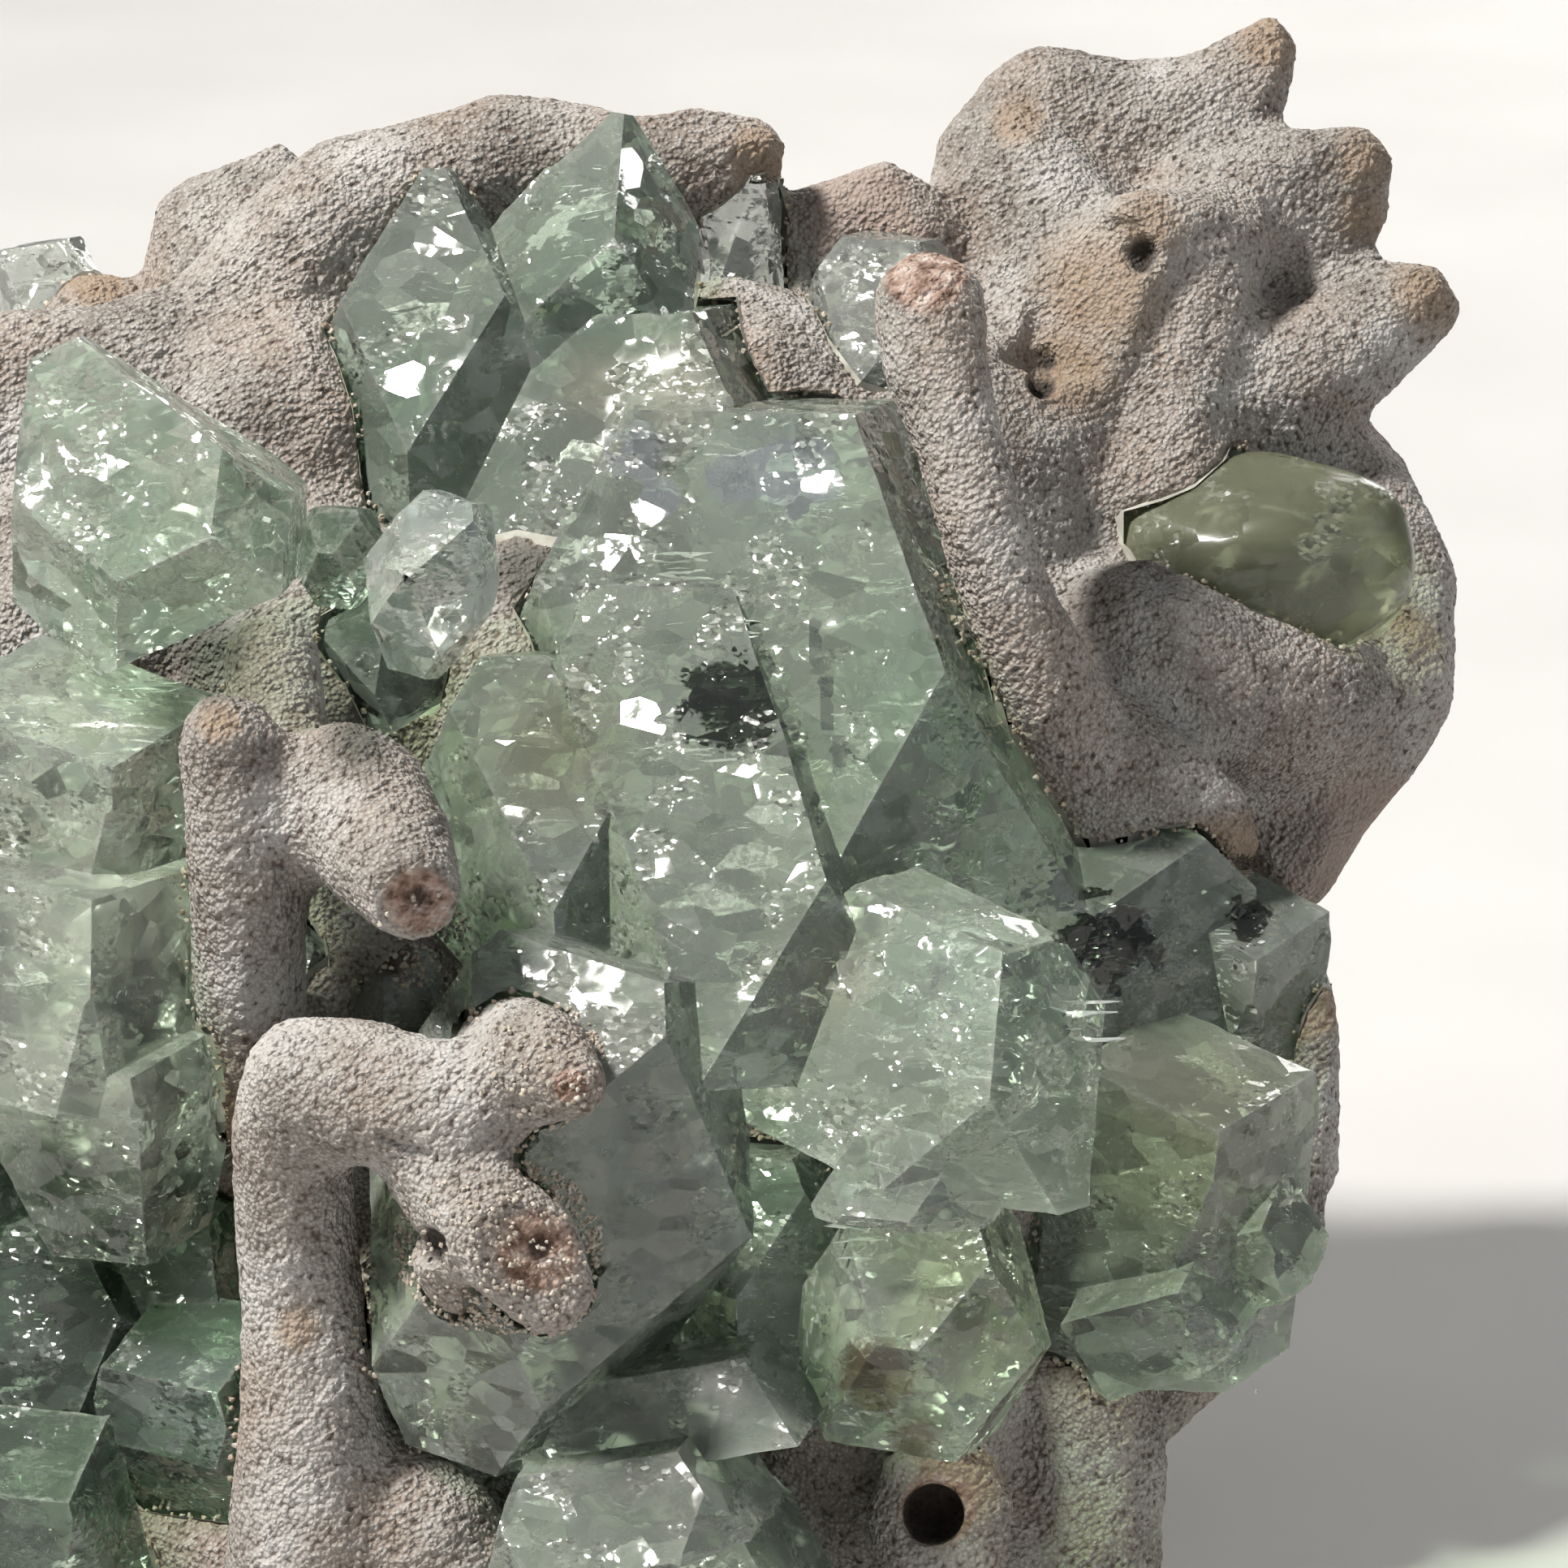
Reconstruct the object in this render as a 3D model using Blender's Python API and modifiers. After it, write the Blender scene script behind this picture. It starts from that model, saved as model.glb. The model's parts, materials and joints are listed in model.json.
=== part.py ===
# Apophyllite cluster: green crystals grown on a knobbly, coral-like matrix.
# Units are metres in the scene and millimetres in the tables below.
# The crystal face looks towards -Y, the flat cut base lies at Z = 0.

import math

import bmesh
import bpy
from mathutils import Matrix, Vector

MM = 0.001

# Placing: every point is given as seen from the front, from a little above
VIEW_RISE = math.radians(18.0)
VIEW_DISTANCE = 450.0
BASE_DROP = 50.0

# Growing rules of the mineral, tetragonal with steep end faces
END_SLOPE = 60.4
GAP = 0.3
BLANK = 160.0

# Matrix surface
CORE_VOXEL = 1.1
CORE_ROUNDS = 4
FINGER_VOXEL = 0.75
FINGER_ROUNDS = 4
CORE_TRIANGLES = 3400
FINGER_TRIANGLES = 2200
STEP_ALONG = 0.45

# Colour of each crystal group, from grey-green to olive
GREENS = {
    "left_upper_crystal": (0.60, 0.70, 0.60),
    "left_stepped_crystal": (0.60, 0.67, 0.56),
    "left_lower_crystals": (0.36, 0.46, 0.40),
    "centre_crystals": (0.57, 0.68, 0.55),
    "small_blue_crystal": (0.62, 0.73, 0.69),
    "shadow_small_crystal": (0.42, 0.48, 0.40),
    "behind_fork_crystal": (0.60, 0.64, 0.54),
    "back_crystal": (0.62, 0.64, 0.58),
    "right_back_crystal": (0.58, 0.60, 0.50),
    "far_left_crystal": (0.50, 0.52, 0.46),
    "set_crystal": (0.47, 0.52, 0.36),
    "under_fork_crystal": (0.56, 0.55, 0.46),
    "fork_clear_crystal": (0.56, 0.58, 0.50),
}
CRYSTAL_ROUGHNESS = 0.1
STONE = (0.60, 0.53, 0.46)
STONE_ROUGHNESS = 0.9

# Crystals: place of the tip (across, up, towards the eye), distances of the four side faces from
# the long axis (back right, front right, front left, back left), tilt to the right, nod to the
# eye, turn about the axis, length and half width of the flat top. A slope other than the usual
# one, a lean that moves single end faces out, and a foot that ends the crystal in a point below.
CRYSTALS = {
    "left_upper_crystal": [
        dict(tip=(-44.2, 27.2, 16), sides=(10.2, 9, 7.6, 9), length=18.6, tilt=-25, nod=6, turn=40,
             top=0.9, foot=6, lean=(0, 0, 1.4, 0)),
    ],
    "left_stepped_crystal": [
        dict(tip=(-43.6, 5.2, 15), sides=(9, 9, 9, 9), length=13, tilt=4, nod=28, turn=15,
             top=5.6, lean=(1.2, 0, 1.2, 0), slope=82),
        dict(tip=(-44.0, -4.8, 17), sides=(8.8, 9.4, 9.4, 9.4), length=13, tilt=4, nod=14, turn=15,
             top=6.0, slope=82),
        dict(tip=(-41.9, -16.0, 16.6), sides=(8, 8, 8, 8), length=12.5, tilt=-6, nod=16, turn=15,
             top=5.4, slope=76, foot=3.4),
    ],
    "left_lower_crystals": [
        dict(tip=(-36.5, -34.2, 13), sides=(6.5, 6.5, 6.5, 6.5), length=13, tilt=-8, nod=35, turn=15,
             top=4.0, slope=74, foot=3),
        dict(tip=(-45.3, -26.2, 8), sides=(7, 7, 7, 7), length=14, tilt=-10, nod=20, turn=30, top=2.0),
        dict(tip=(-36.6, -25.8, 7), sides=(6, 6, 6, 6), length=12, tilt=10, nod=20, turn=30, top=2.0),
        dict(tip=(-46.8, -41.2, 16), sides=(6, 6, 6, 6), length=12, tilt=-4, nod=35, turn=30,
             top=4.0, slope=78),
        dict(tip=(-61.2, 5.0, 4.5), sides=(5.6, 6, 6, 6), length=22, tilt=-16, nod=12, turn=35, top=2.2),
        dict(tip=(-60.0, -14.0, 10), sides=(7, 7, 7, 7), length=18, tilt=-22, nod=20, turn=25, top=3.0),
        dict(tip=(-58.0, -34.0, 9), sides=(6.5, 6.5, 6.5, 6.5), length=16, tilt=-30, nod=26, turn=20,
             top=2.4),
    ],
    "centre_crystals": [
        dict(tip=(-9.9, 41.3, -12), sides=(5.8, 7, 9.4, 7), length=28, tilt=8, nod=4, turn=6, top=0.5),
        dict(tip=(-13.4, 38.0, -12), sides=(3.0, 4.5, 4.6, 5), length=20, tilt=4, nod=5, turn=12, top=0.9),
        dict(tip=(-8.2, 29.0, -9.5), sides=(8.5, 12, 15, 14), length=24, tilt=-5, nod=6, turn=27,
             top=4.6, lean=(-0.4, 0, 0, 0)),
        dict(tip=(-1.6, 23.3, -2), sides=(13.5, 20, 16, 12), length=30, tilt=0, nod=8, turn=32,
             top=6.6, lean=(0.8, 0, 0, 0), slope=64),
        dict(tip=(-6.9, 11.8, 6.5), sides=(11, 17.5, 7.8, 9), length=28, tilt=1, nod=5, turn=32,
             top=4.0, lean=(0.5, 0, 0, 6), slope=63),
        dict(tip=(-16.2, 8.0, 8), sides=(7, 9, 5.2, 3.4), length=20, tilt=-3, nod=5, turn=38,
             top=1.7, lean=(0, 0, 0.6, 0)),
        dict(tip=(-11.1, -10.5, 20), sides=(10.3, 8.4, 7.6, 8.4), length=31, tilt=15, nod=6, turn=25,
             top=3.4, lean=(2, 0, 2, 0), foot=3),
        dict(tip=(11.1, -7.7, 18), sides=(9, 12, 13, 13), length=13.5, tilt=10, nod=21, turn=7,
             top=3.4, lean=(2.35, 0, 2.35, -1)),
        dict(tip=(8.1, -20.9, 21), sides=(3.4, 4.4, 6, 4), length=5.5, tilt=4, nod=8, turn=35,
             top=2.6, lean=(0.6, 0, 0, 0), foot=5),
        dict(tip=(9.2, -25.7, 17), sides=(6.2, 7, 6, 6.6), length=14.5, tilt=6, nod=6, turn=30,
             top=3.6, foot=4),
        dict(tip=(-5.8, -35.1, 19), sides=(6, 9, 9.5, 8), length=5, tilt=-13, nod=10, turn=30,
             top=3.0, lean=(1, 0, 4, 0), foot=9),
        dict(tip=(-10.3, -40.3, 20), sides=(8, 9, 9, 8), length=6, tilt=-13, nod=10, turn=30,
             top=5, foot=8),
        dict(tip=(-6.8, -44.7, 18), sides=(8, 9, 9.5, 8), length=9, tilt=-10, nod=10, turn=30,
             top=5, foot=8),
        dict(tip=(-1.1, -22.6, 13), sides=(4.6, 4.6, 4.6, 4.6), length=16, tilt=0, nod=8, turn=30, top=2.2),
        dict(tip=(20.4, -4.9, 1), sides=(9, 10, 8, 9), length=20, tilt=0, nod=41, turn=0,
             top=2.45, lean=(0, 4.4, 1.2, 3.2)),
        dict(tip=(29.1, -8.1, -3), sides=(5, 5, 5, 5), length=18, tilt=6, nod=35, turn=8,
             top=2.9, lean=(0, 0.8, 0, 0.8), slope=82),
        dict(tip=(25.3, -17.5, 6), sides=(8.2, 8.2, 8.2, 8.2), length=18, tilt=8, nod=27, turn=12,
             top=5.4, slope=82),
        dict(tip=(27.5, -26.2, 5), sides=(4.4, 4.4, 4.4, 4.4), length=5, tilt=-30, nod=24, turn=12,
             top=3.0, slope=80),
        dict(tip=(21.9, -29.9, 6.5), sides=(6, 6, 6, 6), length=5.4, tilt=-30, nod=20, turn=12,
             top=4.2, slope=80),
        dict(tip=(-21.4, 38.0, -10), sides=(7, 7.5, 7.5, 7), length=24, tilt=-2, nod=5, turn=34, top=0.7),
    ],
    "fork_clear_crystal": [
        dict(tip=(-22.6, -10.2, 12.5), sides=(2, 2, 2, 2), length=6, tilt=16, nod=20, turn=30, top=0.8),
    ],
    "small_blue_crystal": [
        dict(tip=(-20.2, 17.7, 10), sides=(2.6, 3.0, 3.6, 3.4), length=11, tilt=14, nod=6, turn=30,
             top=1.6, foot=1.2),
    ],
    "shadow_small_crystal": [
        dict(tip=(-27.2, 17.0, 6.5), sides=(2.4, 2.4, 2.4, 2.4), length=6, tilt=3, nod=5, turn=30,
             top=1.4, foot=1),
    ],
    "behind_fork_crystal": [
        dict(tip=(-26.3, 10.9, 4), sides=(2.4, 3, 3, 3), length=7, tilt=-24, nod=20, turn=30, top=1.8),
    ],
    "back_crystal": [
        dict(tip=(-2.7, 37.2, -18.6), sides=(2.6, 2.6, 2.6, 2.6), length=12, tilt=4, nod=8, turn=25,
             top=2, slope=78),
    ],
    "right_back_crystal": [
        dict(tip=(6.6, 33.7, -15.5), sides=(5, 6, 5, 5), length=11, tilt=4, nod=10, turn=25, top=2.4),
    ],
    "far_left_crystal": [
        dict(tip=(-45.8, 33.3, -26), sides=(3, 3, 3, 3), length=12, tilt=-10, nod=8, turn=25, top=2),
    ],
    "set_crystal": [
        dict(tip=(38.4, 14.9, -14.0), sides=(5.8, 5.2, 5.8, 5.2), length=23, tilt=80, nod=8, turn=35,
             top=2.8, foot=0.8),
    ],
    "under_fork_crystal": [
        dict(tip=(-30.2, -8.6, 9.6), sides=(1.7, 1.7, 1.7, 1.7), length=6, tilt=-14, nod=20, turn=30,
             top=0.4),
    ],
}

# Matrix limbs: chains of points (across, up, towards the eye, radius)
PROUD_LIMBS = {
    "long_finger": [(8.9, 29.4, 2, 3.8), (9.4, 26.0, 3, 3.5), (10.6, 21.8, 4, 3.0), (12.0, 16.5, 5, 2.9),
                    (14.0, 11.0, 4, 3.1), (16.0, 5.6, 2, 3.7), (18.2, 1.2, -2, 4.6), (19.4, -1.4, -4, 4.6)],
    "fork_left": [(-34.2, 2.6, 21, 3.25), (-33.6, -1.7, 20, 3.4), (-32.9, -6.7, 18, 3.8),
                  (-32.9, -12.7, 15, 3.8), (-33.0, -18.7, 12, 3.8)],
    "fork_right": [(-33.3, -3.7, 18, 3.2), (-29.8, -2.0, 18, 4.2), (-26.8, -1.0, 19, 4.9),
                   (-24.6, -3.8, 22, 4.2), (-23.0, -6.6, 26, 3.2)],
    "fork_back": [(-31.6, 7.5, 12, 3.1), (-31.1, 3.3, 14, 3.2), (-31.8, -1.7, 16, 3.2)],
    "bent_finger": [(-19.1, -20.0, 27, 3.8), (-22.3, -19.7, 26, 4.1), (-26.3, -19.0, 25, 4.4),
                    (-29.4, -18.5, 24, 4.2), (-30.3, -21.7, 22, 3.8), (-30.2, -25.7, 20, 3.8),
                    (-29.6, -31.7, 18, 3.9), (-29.1, -37.7, 17, 4.4), (-29.1, -43.2, 16, 5.0),
                    (-28.8, -49.7, 15, 6.0), (-28.6, -56.0, 15, 6.6)],
    "low_lump": [(-24.8, -43.7, 14, 4.5), (-22.3, -46.7, 15, 5.2), (-20.3, -50.7, 14, 6.0),
                 (-20.0, -57.0, 13, 6.0)],
    "upper_stub": [(-18.3, -16.2, 10, 3.5), (-16.6, -16.5, 22, 3.7), (-15.3, -17.3, 28, 3.6),
                   (-13.0, -18.6, 30.5, 2.3)],
    "lower_stub": [(-22.6, -21.4, 25, 3.2), (-20.6, -24.4, 26, 3.4), (-18.4, -26.8, 28, 3.6),
                   (-15.8, -29.0, 29.4, 3.6), (-14.6, -31.2, 28.6, 2.8), (-15.3, -28.7, 12, 4.0)],
    "stub_side": [(-18.6, -27.4, 27, 2.6), (-21.0, -29.4, 25.4, 2.2), (-20.0, -31.4, 24.6, 1.8)],
    "broken_finger": [(6.6, -45.2, 12.4, 1.9), (7.6, -42.6, 13, 1.9), (10.7, -42.0, 13.4, 2.1),
                      (12.5, -44.4, 13.4, 2.0), (11.6, -47.6, 13, 2.2), (8.2, -48.7, 12.4, 2.2),
                      (6.6, -45.2, 12.4, 1.9)],
    "broken_finger_root": [(9.4, -44.6, 9.6, 3.6), (9.5, -46.0, -2, 4.0)],
}

BODY_LIMBS = {
    "lip": [(18.2, 1.8, -2, 5.0), (21.7, 0.3, -3, 4.2), (25.7, -1.7, -4, 3.2), (28.2, -3.7, -5, 1.6)],
    "ridge": [(-52, 24.8, -10, 4.6), (-43.8, 25.2, -11, 4.6), (-38.3, 25.8, -12, 5.0),
              (-34.3, 27.3, -13, 5.0), (-30.8, 30.8, -14, 5.5), (-27.3, 34.6, -15, 5.5),
              (-23.8, 35.6, -16, 5.5), (-20.3, 36.6, -17, 5.0), (-17.3, 38.3, -18, 4.8),
              (-13.3, 37.9, -18, 4.7), (-9.3, 37.2, -18, 4.3), (-5.3, 38.0, -18, 4.0),
              (-2.4, 38.6, -18, 3.0)],
    "back_lump": [(-31.3, 36.9, -26, 2.9), (-34.8, 33.3, -26, 5.0), (-33.0, 27.0, -22, 6.0),
                  (-31.0, 20.0, -18, 7.0)],
    "tan_lump": [(-42.7, 29.1, -24, 3.1), (-42.3, 25.8, -22, 5.0), (-41.5, 21.0, -18, 5.0)],
    "broken_knob": [(1.7, 33.8, -22, 3.4), (6.0, 36.1, -22, 2.9), (7.2, 33.3, -22, 4.0)],
    "fan_blade": [(16.2, 40.8, -29, 5.4), (21.2, 40.1, -29, 5.0), (25.7, 41.3, -29, 4.2),
                  (28.4, 43.3, -29, 3.4), (30.0, 45.6, -29, 2.2)],
    "fan_blade_root": [(13.2, 38.3, -27, 4.6), (13.7, 33.3, -26, 5.5)],
    "fan_web": [(14.8, 37.0, -25, 4.8), (17.6, 34.6, -23, 4.2), (15.6, 29.0, -21, 4.6)],
    "fan_second": [(25.7, 34.8, -25, 4.6), (30.7, 36.8, -26, 3.8), (35.0, 38.1, -26, 2.9)],
    "fan_second_low": [(31.7, 34.0, -27, 4.6), (34.9, 35.0, -27, 2.8)],
    "fan_third": [(28.7, 23.6, -22, 5.2), (34.2, 26.3, -23, 4.4), (38.8, 29.4, -24, 3.4)],
    "fan_face": [(25.2, 34.4, -18.5, 2.8), (21.6, 33.6, -17.5, 3.4), (19.4, 28.8, -17, 3.8),
                 (17.2, 22.6, -17, 3.8)],
    "fan_fold": [(27.0, 33.4, -21, 3.2), (25.2, 28.2, -19, 3.4), (24.0, 23.0, -17.5, 3.8),
                 (23.4, 18.0, -16.5, 4.0)],
    "fan_body": [(26.7, 27.8, -32, 9.0), (22.7, 20.3, -25, 8.0), (30.7, 16.3, -28, 9.0)],
    "shell": [(36.2, 17.3, -24, 3.5), (38.0, 12.3, -22, 4.0), (37.5, 6.3, -20, 4.5),
              (35.7, 1.8, -20, 3.6), (33.7, -0.7, -20, 3.5), (31.7, -4.2, -19, 3.4),
              (31.7, -6.2, -19, 2.2)],
    "shell_floor": [(31.7, 5.3, -16, 6.0), (25.7, 5.8, -12, 6.5), (21.7, 8.3, -10, 6.0)],
    "rim": [(31.4, -11.2, -8, 2.3), (32.6, -13.7, -6, 2.0), (32.6, -18.2, -6, 2.0), (31.9, -23.2, -5, 2.2),
            (31.0, -28.2, -4, 2.3), (28.5, -31.7, -4, 2.8), (25.7, -34.7, -4, 3.2), (22.2, -37.2, -4, 3.8)],
    "rim_root": [(32.2, -23.2, -6, 2.6), (27.0, -21.5, -15, 5.0)],
    "rim_root_low": [(30.6, -28.6, -5, 3.0), (24.5, -27.0, -15, 6.0)],
    "lobe": [(18.2, -38.7, 0, 5.0), (19.6, -43.2, 0, 4.4), (18.7, -48.2, 0, 4.8), (17.6, -54, -2, 5.0)],
}

# Broken ends: a point on the break and the direction the broken face looks in
BREAKS = [
    ((-22.6, -7.2, 27.2), (0.35, -0.45, 1.0)),
    ((8.8, 31.9, 4.0), (0.1, 1.0, 0.55)),
    ((-15.4, -28.4, 30.6), (0.25, -0.1, 1.0)),
]
BODY_BREAKS = [
    ((20.4, 29.6, -14.9), (-0.42, 0.22, 1.0)),
]
BREAK_SIZE = 11.0

# Bulk of the matrix behind the crystals: loose balls
BULK = [
    (-43.3, 20.3, -14, 9), (-30.8, 20.3, -14, 11), (-15.8, 20.3, -18, 13), (-3.3, 18.3, -18, 14),
    (9.2, 17.3, -20, 13), (21.7, 15.8, -22, 10), (-55.8, 15.8, -12, 12), (-43.3, 8.3, -8, 12),
    (-28.3, 5.8, -6, 12), (-13.3, 3.3, -8, 15), (1.7, 0.8, -8, 16), (14.2, 0.8, -14, 13),
    (25.7, 4.3, -20, 9), (-58.3, -1.7, -10, 15), (-45.8, -11.7, -4, 14), (-30.8, -14.2, -2, 14),
    (-13.3, -16.7, -4, 17), (4.2, -16.7, -4, 17), (18.2, -16.7, -14, 12), (24.0, -19.2, -16, 7.5),
    (-55.8, -26.7, -9, 15), (-38.3, -31.7, -8, 15), (-18.3, -34.2, -4, 18), (1.7, -34.2, -4, 16),
    (14.2, -34.2, -10, 12), (-48.3, -46.7, -4, 16), (-28.3, -49.2, -2, 16), (-8.3, -49.2, -2, 16),
    (9.2, -49.2, -5, 12), (14.4, -46.7, -7, 8.6), (-40, -28, -22, 18), (-16, -20, -22, 20),
    (8, -16, -22, 18), (-30, 4, -20, 16), (-4, 6, -22, 17), (-10, -42, -20, 20), (-36, -46, -18, 18),
    (10, -38, -18, 13), (-58, -44, -10, 13),
    (-56, -42, -28, 14), (-36, -40, -34, 16), (-12, -41, -35, 17), (8, -38, -32, 14), (16, -37, -22, 8),
    (-57, -17, -22, 14), (-35, -12, -27, 17), (-10, -14, -27, 18), (12, -12, -25, 16), (22, -14, -20, 9),
    (-53, 11, -18, 12), (-33, 13, -20, 15), (-9, 14, -25, 15), (12, 12, -27, 14), (28, 3, -26, 10),
    (-41, 19.6, -22, 8), (-50, 20, -22, 8), (-30, -55, -8, 15), (-50, -55, -10, 14), (-8, -55, -10, 15),
    (10, -53, -12, 11), (-20, -55, -30, 16), (-42, -55, -30, 15), (4, -54, -28, 12),
]


def from_view(across, up, towards):
    """A point seen at (across, up) in the front view and lying so far towards the eye."""
    near = 1.0 - towards / VIEW_DISTANCE
    across = across * near
    up = up * near
    rise_sin = math.sin(VIEW_RISE)
    rise_cos = math.cos(VIEW_RISE)
    y = up * rise_sin - towards * rise_cos
    z = up * rise_cos + towards * rise_sin + BASE_DROP
    return Vector((across, y, z)) * MM


def view_direction(across, up, towards):
    """A direction given in the front view, turned into the object's own frame."""
    rise_sin = math.sin(VIEW_RISE)
    rise_cos = math.cos(VIEW_RISE)
    return Vector((across, up * rise_sin - towards * rise_cos, up * rise_cos + towards * rise_sin))


def clear_scene():
    for item in list(bpy.data.objects):
        bpy.data.objects.remove(item, do_unlink=True)


def new_collection(name):
    group = bpy.data.collections.new(name)
    bpy.context.scene.collection.children.link(group)
    return group


def plain_material(name, colour, roughness):
    material = bpy.data.materials.new(name)
    material.use_nodes = True
    shader = material.node_tree.nodes["Principled BSDF"]
    shader.inputs["Base Color"].default_value = (*colour, 1.0)
    shader.inputs["Roughness"].default_value = roughness
    shader.inputs["Metallic"].default_value = 0.0
    return material


def add_object(name, form, group, material):
    mesh = bpy.data.meshes.new(name)
    form.to_mesh(mesh)
    form.free()
    item = bpy.data.objects.new(name, mesh)
    item.data.materials.append(material)
    group.objects.link(item)
    return item


def crystal_axes(tilt, nod, turn):
    """Side, front and long axis of a crystal."""
    tilt = math.radians(tilt)
    nod = math.radians(nod)
    turn = math.radians(turn)
    long_axis = Vector((math.sin(tilt) * math.cos(nod), math.cos(tilt) * math.cos(nod), math.sin(nod)))
    across = Vector((math.cos(tilt), -math.sin(tilt), 0.0))
    front = across.cross(long_axis)
    side = across * math.cos(turn) - front * math.sin(turn)
    front = front * math.cos(turn) + across * math.sin(turn)
    return view_direction(*side), view_direction(*front), view_direction(*long_axis)


def cut_away(form, point, normal):
    """Cut off what lies beyond a plane and close the cut with a face."""
    geometry = form.verts[:] + form.edges[:] + form.faces[:]
    cut = bmesh.ops.bisect_plane(form, geom=geometry, plane_co=point, plane_no=normal,
                                 clear_outer=True, dist=1e-7)
    edges = [e for e in cut["geom_cut"] if isinstance(e, bmesh.types.BMEdge)]
    edges = [e for e in edges if e.is_boundary]
    if edges:
        bmesh.ops.contextual_create(form, geom=edges)


def crystal_form(crystal, grow=0.0):
    """One crystal: a block cut by its side faces, end faces and flat top."""
    side, front, axis = crystal_axes(crystal["tilt"], crystal["nod"], crystal["turn"])
    tip = from_view(*crystal["tip"])
    length = crystal["length"]
    slope = math.radians(crystal.get("slope", END_SLOPE))
    lean = crystal.get("lean", (0, 0, 0, 0))
    foot = crystal.get("foot", BLANK)
    form = bmesh.new()
    bmesh.ops.create_cube(form, size=BLANK * MM, matrix=Matrix.Translation(tip))
    cut_away(form, tip + axis * grow * MM, axis)
    cut_away(form, tip - axis * (length + grow) * MM, -axis)
    for normal, reach in zip((side, front, -side, -front), crystal["sides"]):
        cut_away(form, tip + normal * (reach + grow) * MM, normal)
    corners = ((side + front), (front - side), (-side - front), (side - front))
    for corner, extra in zip(corners, lean):
        outward = corner.normalized()
        normal = outward * math.sin(slope) + axis * math.cos(slope)
        reach = math.sin(slope) * (crystal["top"] + extra) + grow
        cut_away(form, tip + normal * reach * MM, normal)
        if foot < BLANK:
            normal = outward * math.sin(slope) - axis * math.cos(slope)
            reach = math.sin(slope) * foot + math.cos(slope) * length + grow
            cut_away(form, tip + normal * reach * MM, normal)
    bmesh.ops.remove_doubles(form, verts=form.verts, dist=1e-6)
    bmesh.ops.recalc_face_normals(form, faces=form.faces)
    return form


def ball(form, centre, radius):
    place = Matrix.Translation(centre)
    bmesh.ops.create_icosphere(form, subdivisions=2, radius=radius * MM, matrix=place)


def limb(form, chain, grow=0.0):
    """A knobbly limb: balls set close together along a chain of points."""
    for start, end in zip(chain, chain[1:]):
        a = from_view(*start[:3])
        b = from_view(*end[:3])
        step = STEP_ALONG * min(start[3], end[3]) * MM
        count = max(1, math.ceil((b - a).length / step))
        for k in range(count + 1):
            share = k / count
            ball(form, a.lerp(b, share), start[3] + (end[3] - start[3]) * share + grow)


def apply_modifiers(item):
    graph = bpy.context.evaluated_depsgraph_get()
    mesh = bpy.data.meshes.new_from_object(item.evaluated_get(graph))
    old = item.data
    item.modifiers.clear()
    item.data = mesh
    bpy.data.meshes.remove(old)


def soften(item, voxel, rounds, triangles):
    """Melt the balls into one skin, smooth it and bring it down to a light mesh."""
    remesh = item.modifiers.new("Skin", "REMESH")
    remesh.mode = "VOXEL"
    remesh.voxel_size = voxel * MM
    smooth = item.modifiers.new("Smooth", "SMOOTH")
    smooth.factor = 0.5
    smooth.iterations = rounds
    apply_modifiers(item)
    count = sum(len(f.vertices) - 2 for f in item.data.polygons)
    thin = item.modifiers.new("Thin", "DECIMATE")
    thin.ratio = min(1.0, triangles / count)
    thin.use_collapse_triangulate = True
    apply_modifiers(item)


def boolean(item, other, operation):
    cut = item.modifiers.new("Boolean", "BOOLEAN")
    cut.operation = operation
    cut.solver = "EXACT"
    cut.object = other
    apply_modifiers(item)


def keep_main_piece(item):
    """Drop the crumbs that a Boolean leaves between two crystals."""
    form = bmesh.new()
    form.from_mesh(item.data)
    form.verts.ensure_lookup_table()
    waiting = set(form.verts)
    pieces = []
    while waiting:
        piece = {waiting.pop()}
        edge_of_piece = list(piece)
        while edge_of_piece:
            vertex = edge_of_piece.pop()
            for edge in vertex.link_edges:
                other = edge.other_vert(vertex)
                if other in waiting:
                    waiting.remove(other)
                    piece.add(other)
                    edge_of_piece.append(other)
        pieces.append(piece)
    pieces.sort(key=len, reverse=True)
    crumbs = [vertex for piece in pieces[1:] for vertex in piece]
    print(item.name, "crumbs dropped:", [len(piece) for piece in pieces[1:]])
    bmesh.ops.delete(form, geom=crumbs, context="VERTS")
    form.to_mesh(item.data)
    form.free()


def cutter(name, form):
    item = add_object(name, form, cutters, matrix_stone)
    item.hide_render = True
    item.display_type = "WIRE"
    return item


def base_block():
    """Everything under the cut base."""
    form = bmesh.new()
    place = Matrix.Translation(Vector((0, 0, -BLANK * MM)))
    bmesh.ops.create_cube(form, size=2 * BLANK * MM, matrix=place)
    return cutter("below_base", form)


def joined_crystals(name, crystals, grow):
    """Crystals that overlap, joined in one solid."""
    first = cutter(name, crystal_form(crystals[0], grow))
    for number, crystal in enumerate(crystals[1:]):
        other = cutter(name + "_" + str(number), crystal_form(crystal, grow))
        boolean(first, other, "UNION")
        bpy.data.objects.remove(other, do_unlink=True)
    return first


def break_off(item, breaks, grow):
    """Cut the broken ends flat."""
    for point, direction in breaks:
        outward = view_direction(*direction).normalized()
        form = bmesh.new()
        middle = from_view(*point) + outward * (BREAK_SIZE / 2 + grow) * MM
        turned = outward.to_track_quat("Z", "Y").to_matrix().to_4x4()
        bmesh.ops.create_cube(form, size=BREAK_SIZE * MM, matrix=Matrix.Translation(middle) @ turned)
        chip = cutter("chip", form)
        boolean(item, chip, "DIFFERENCE")
        bpy.data.objects.remove(chip, do_unlink=True)


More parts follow.
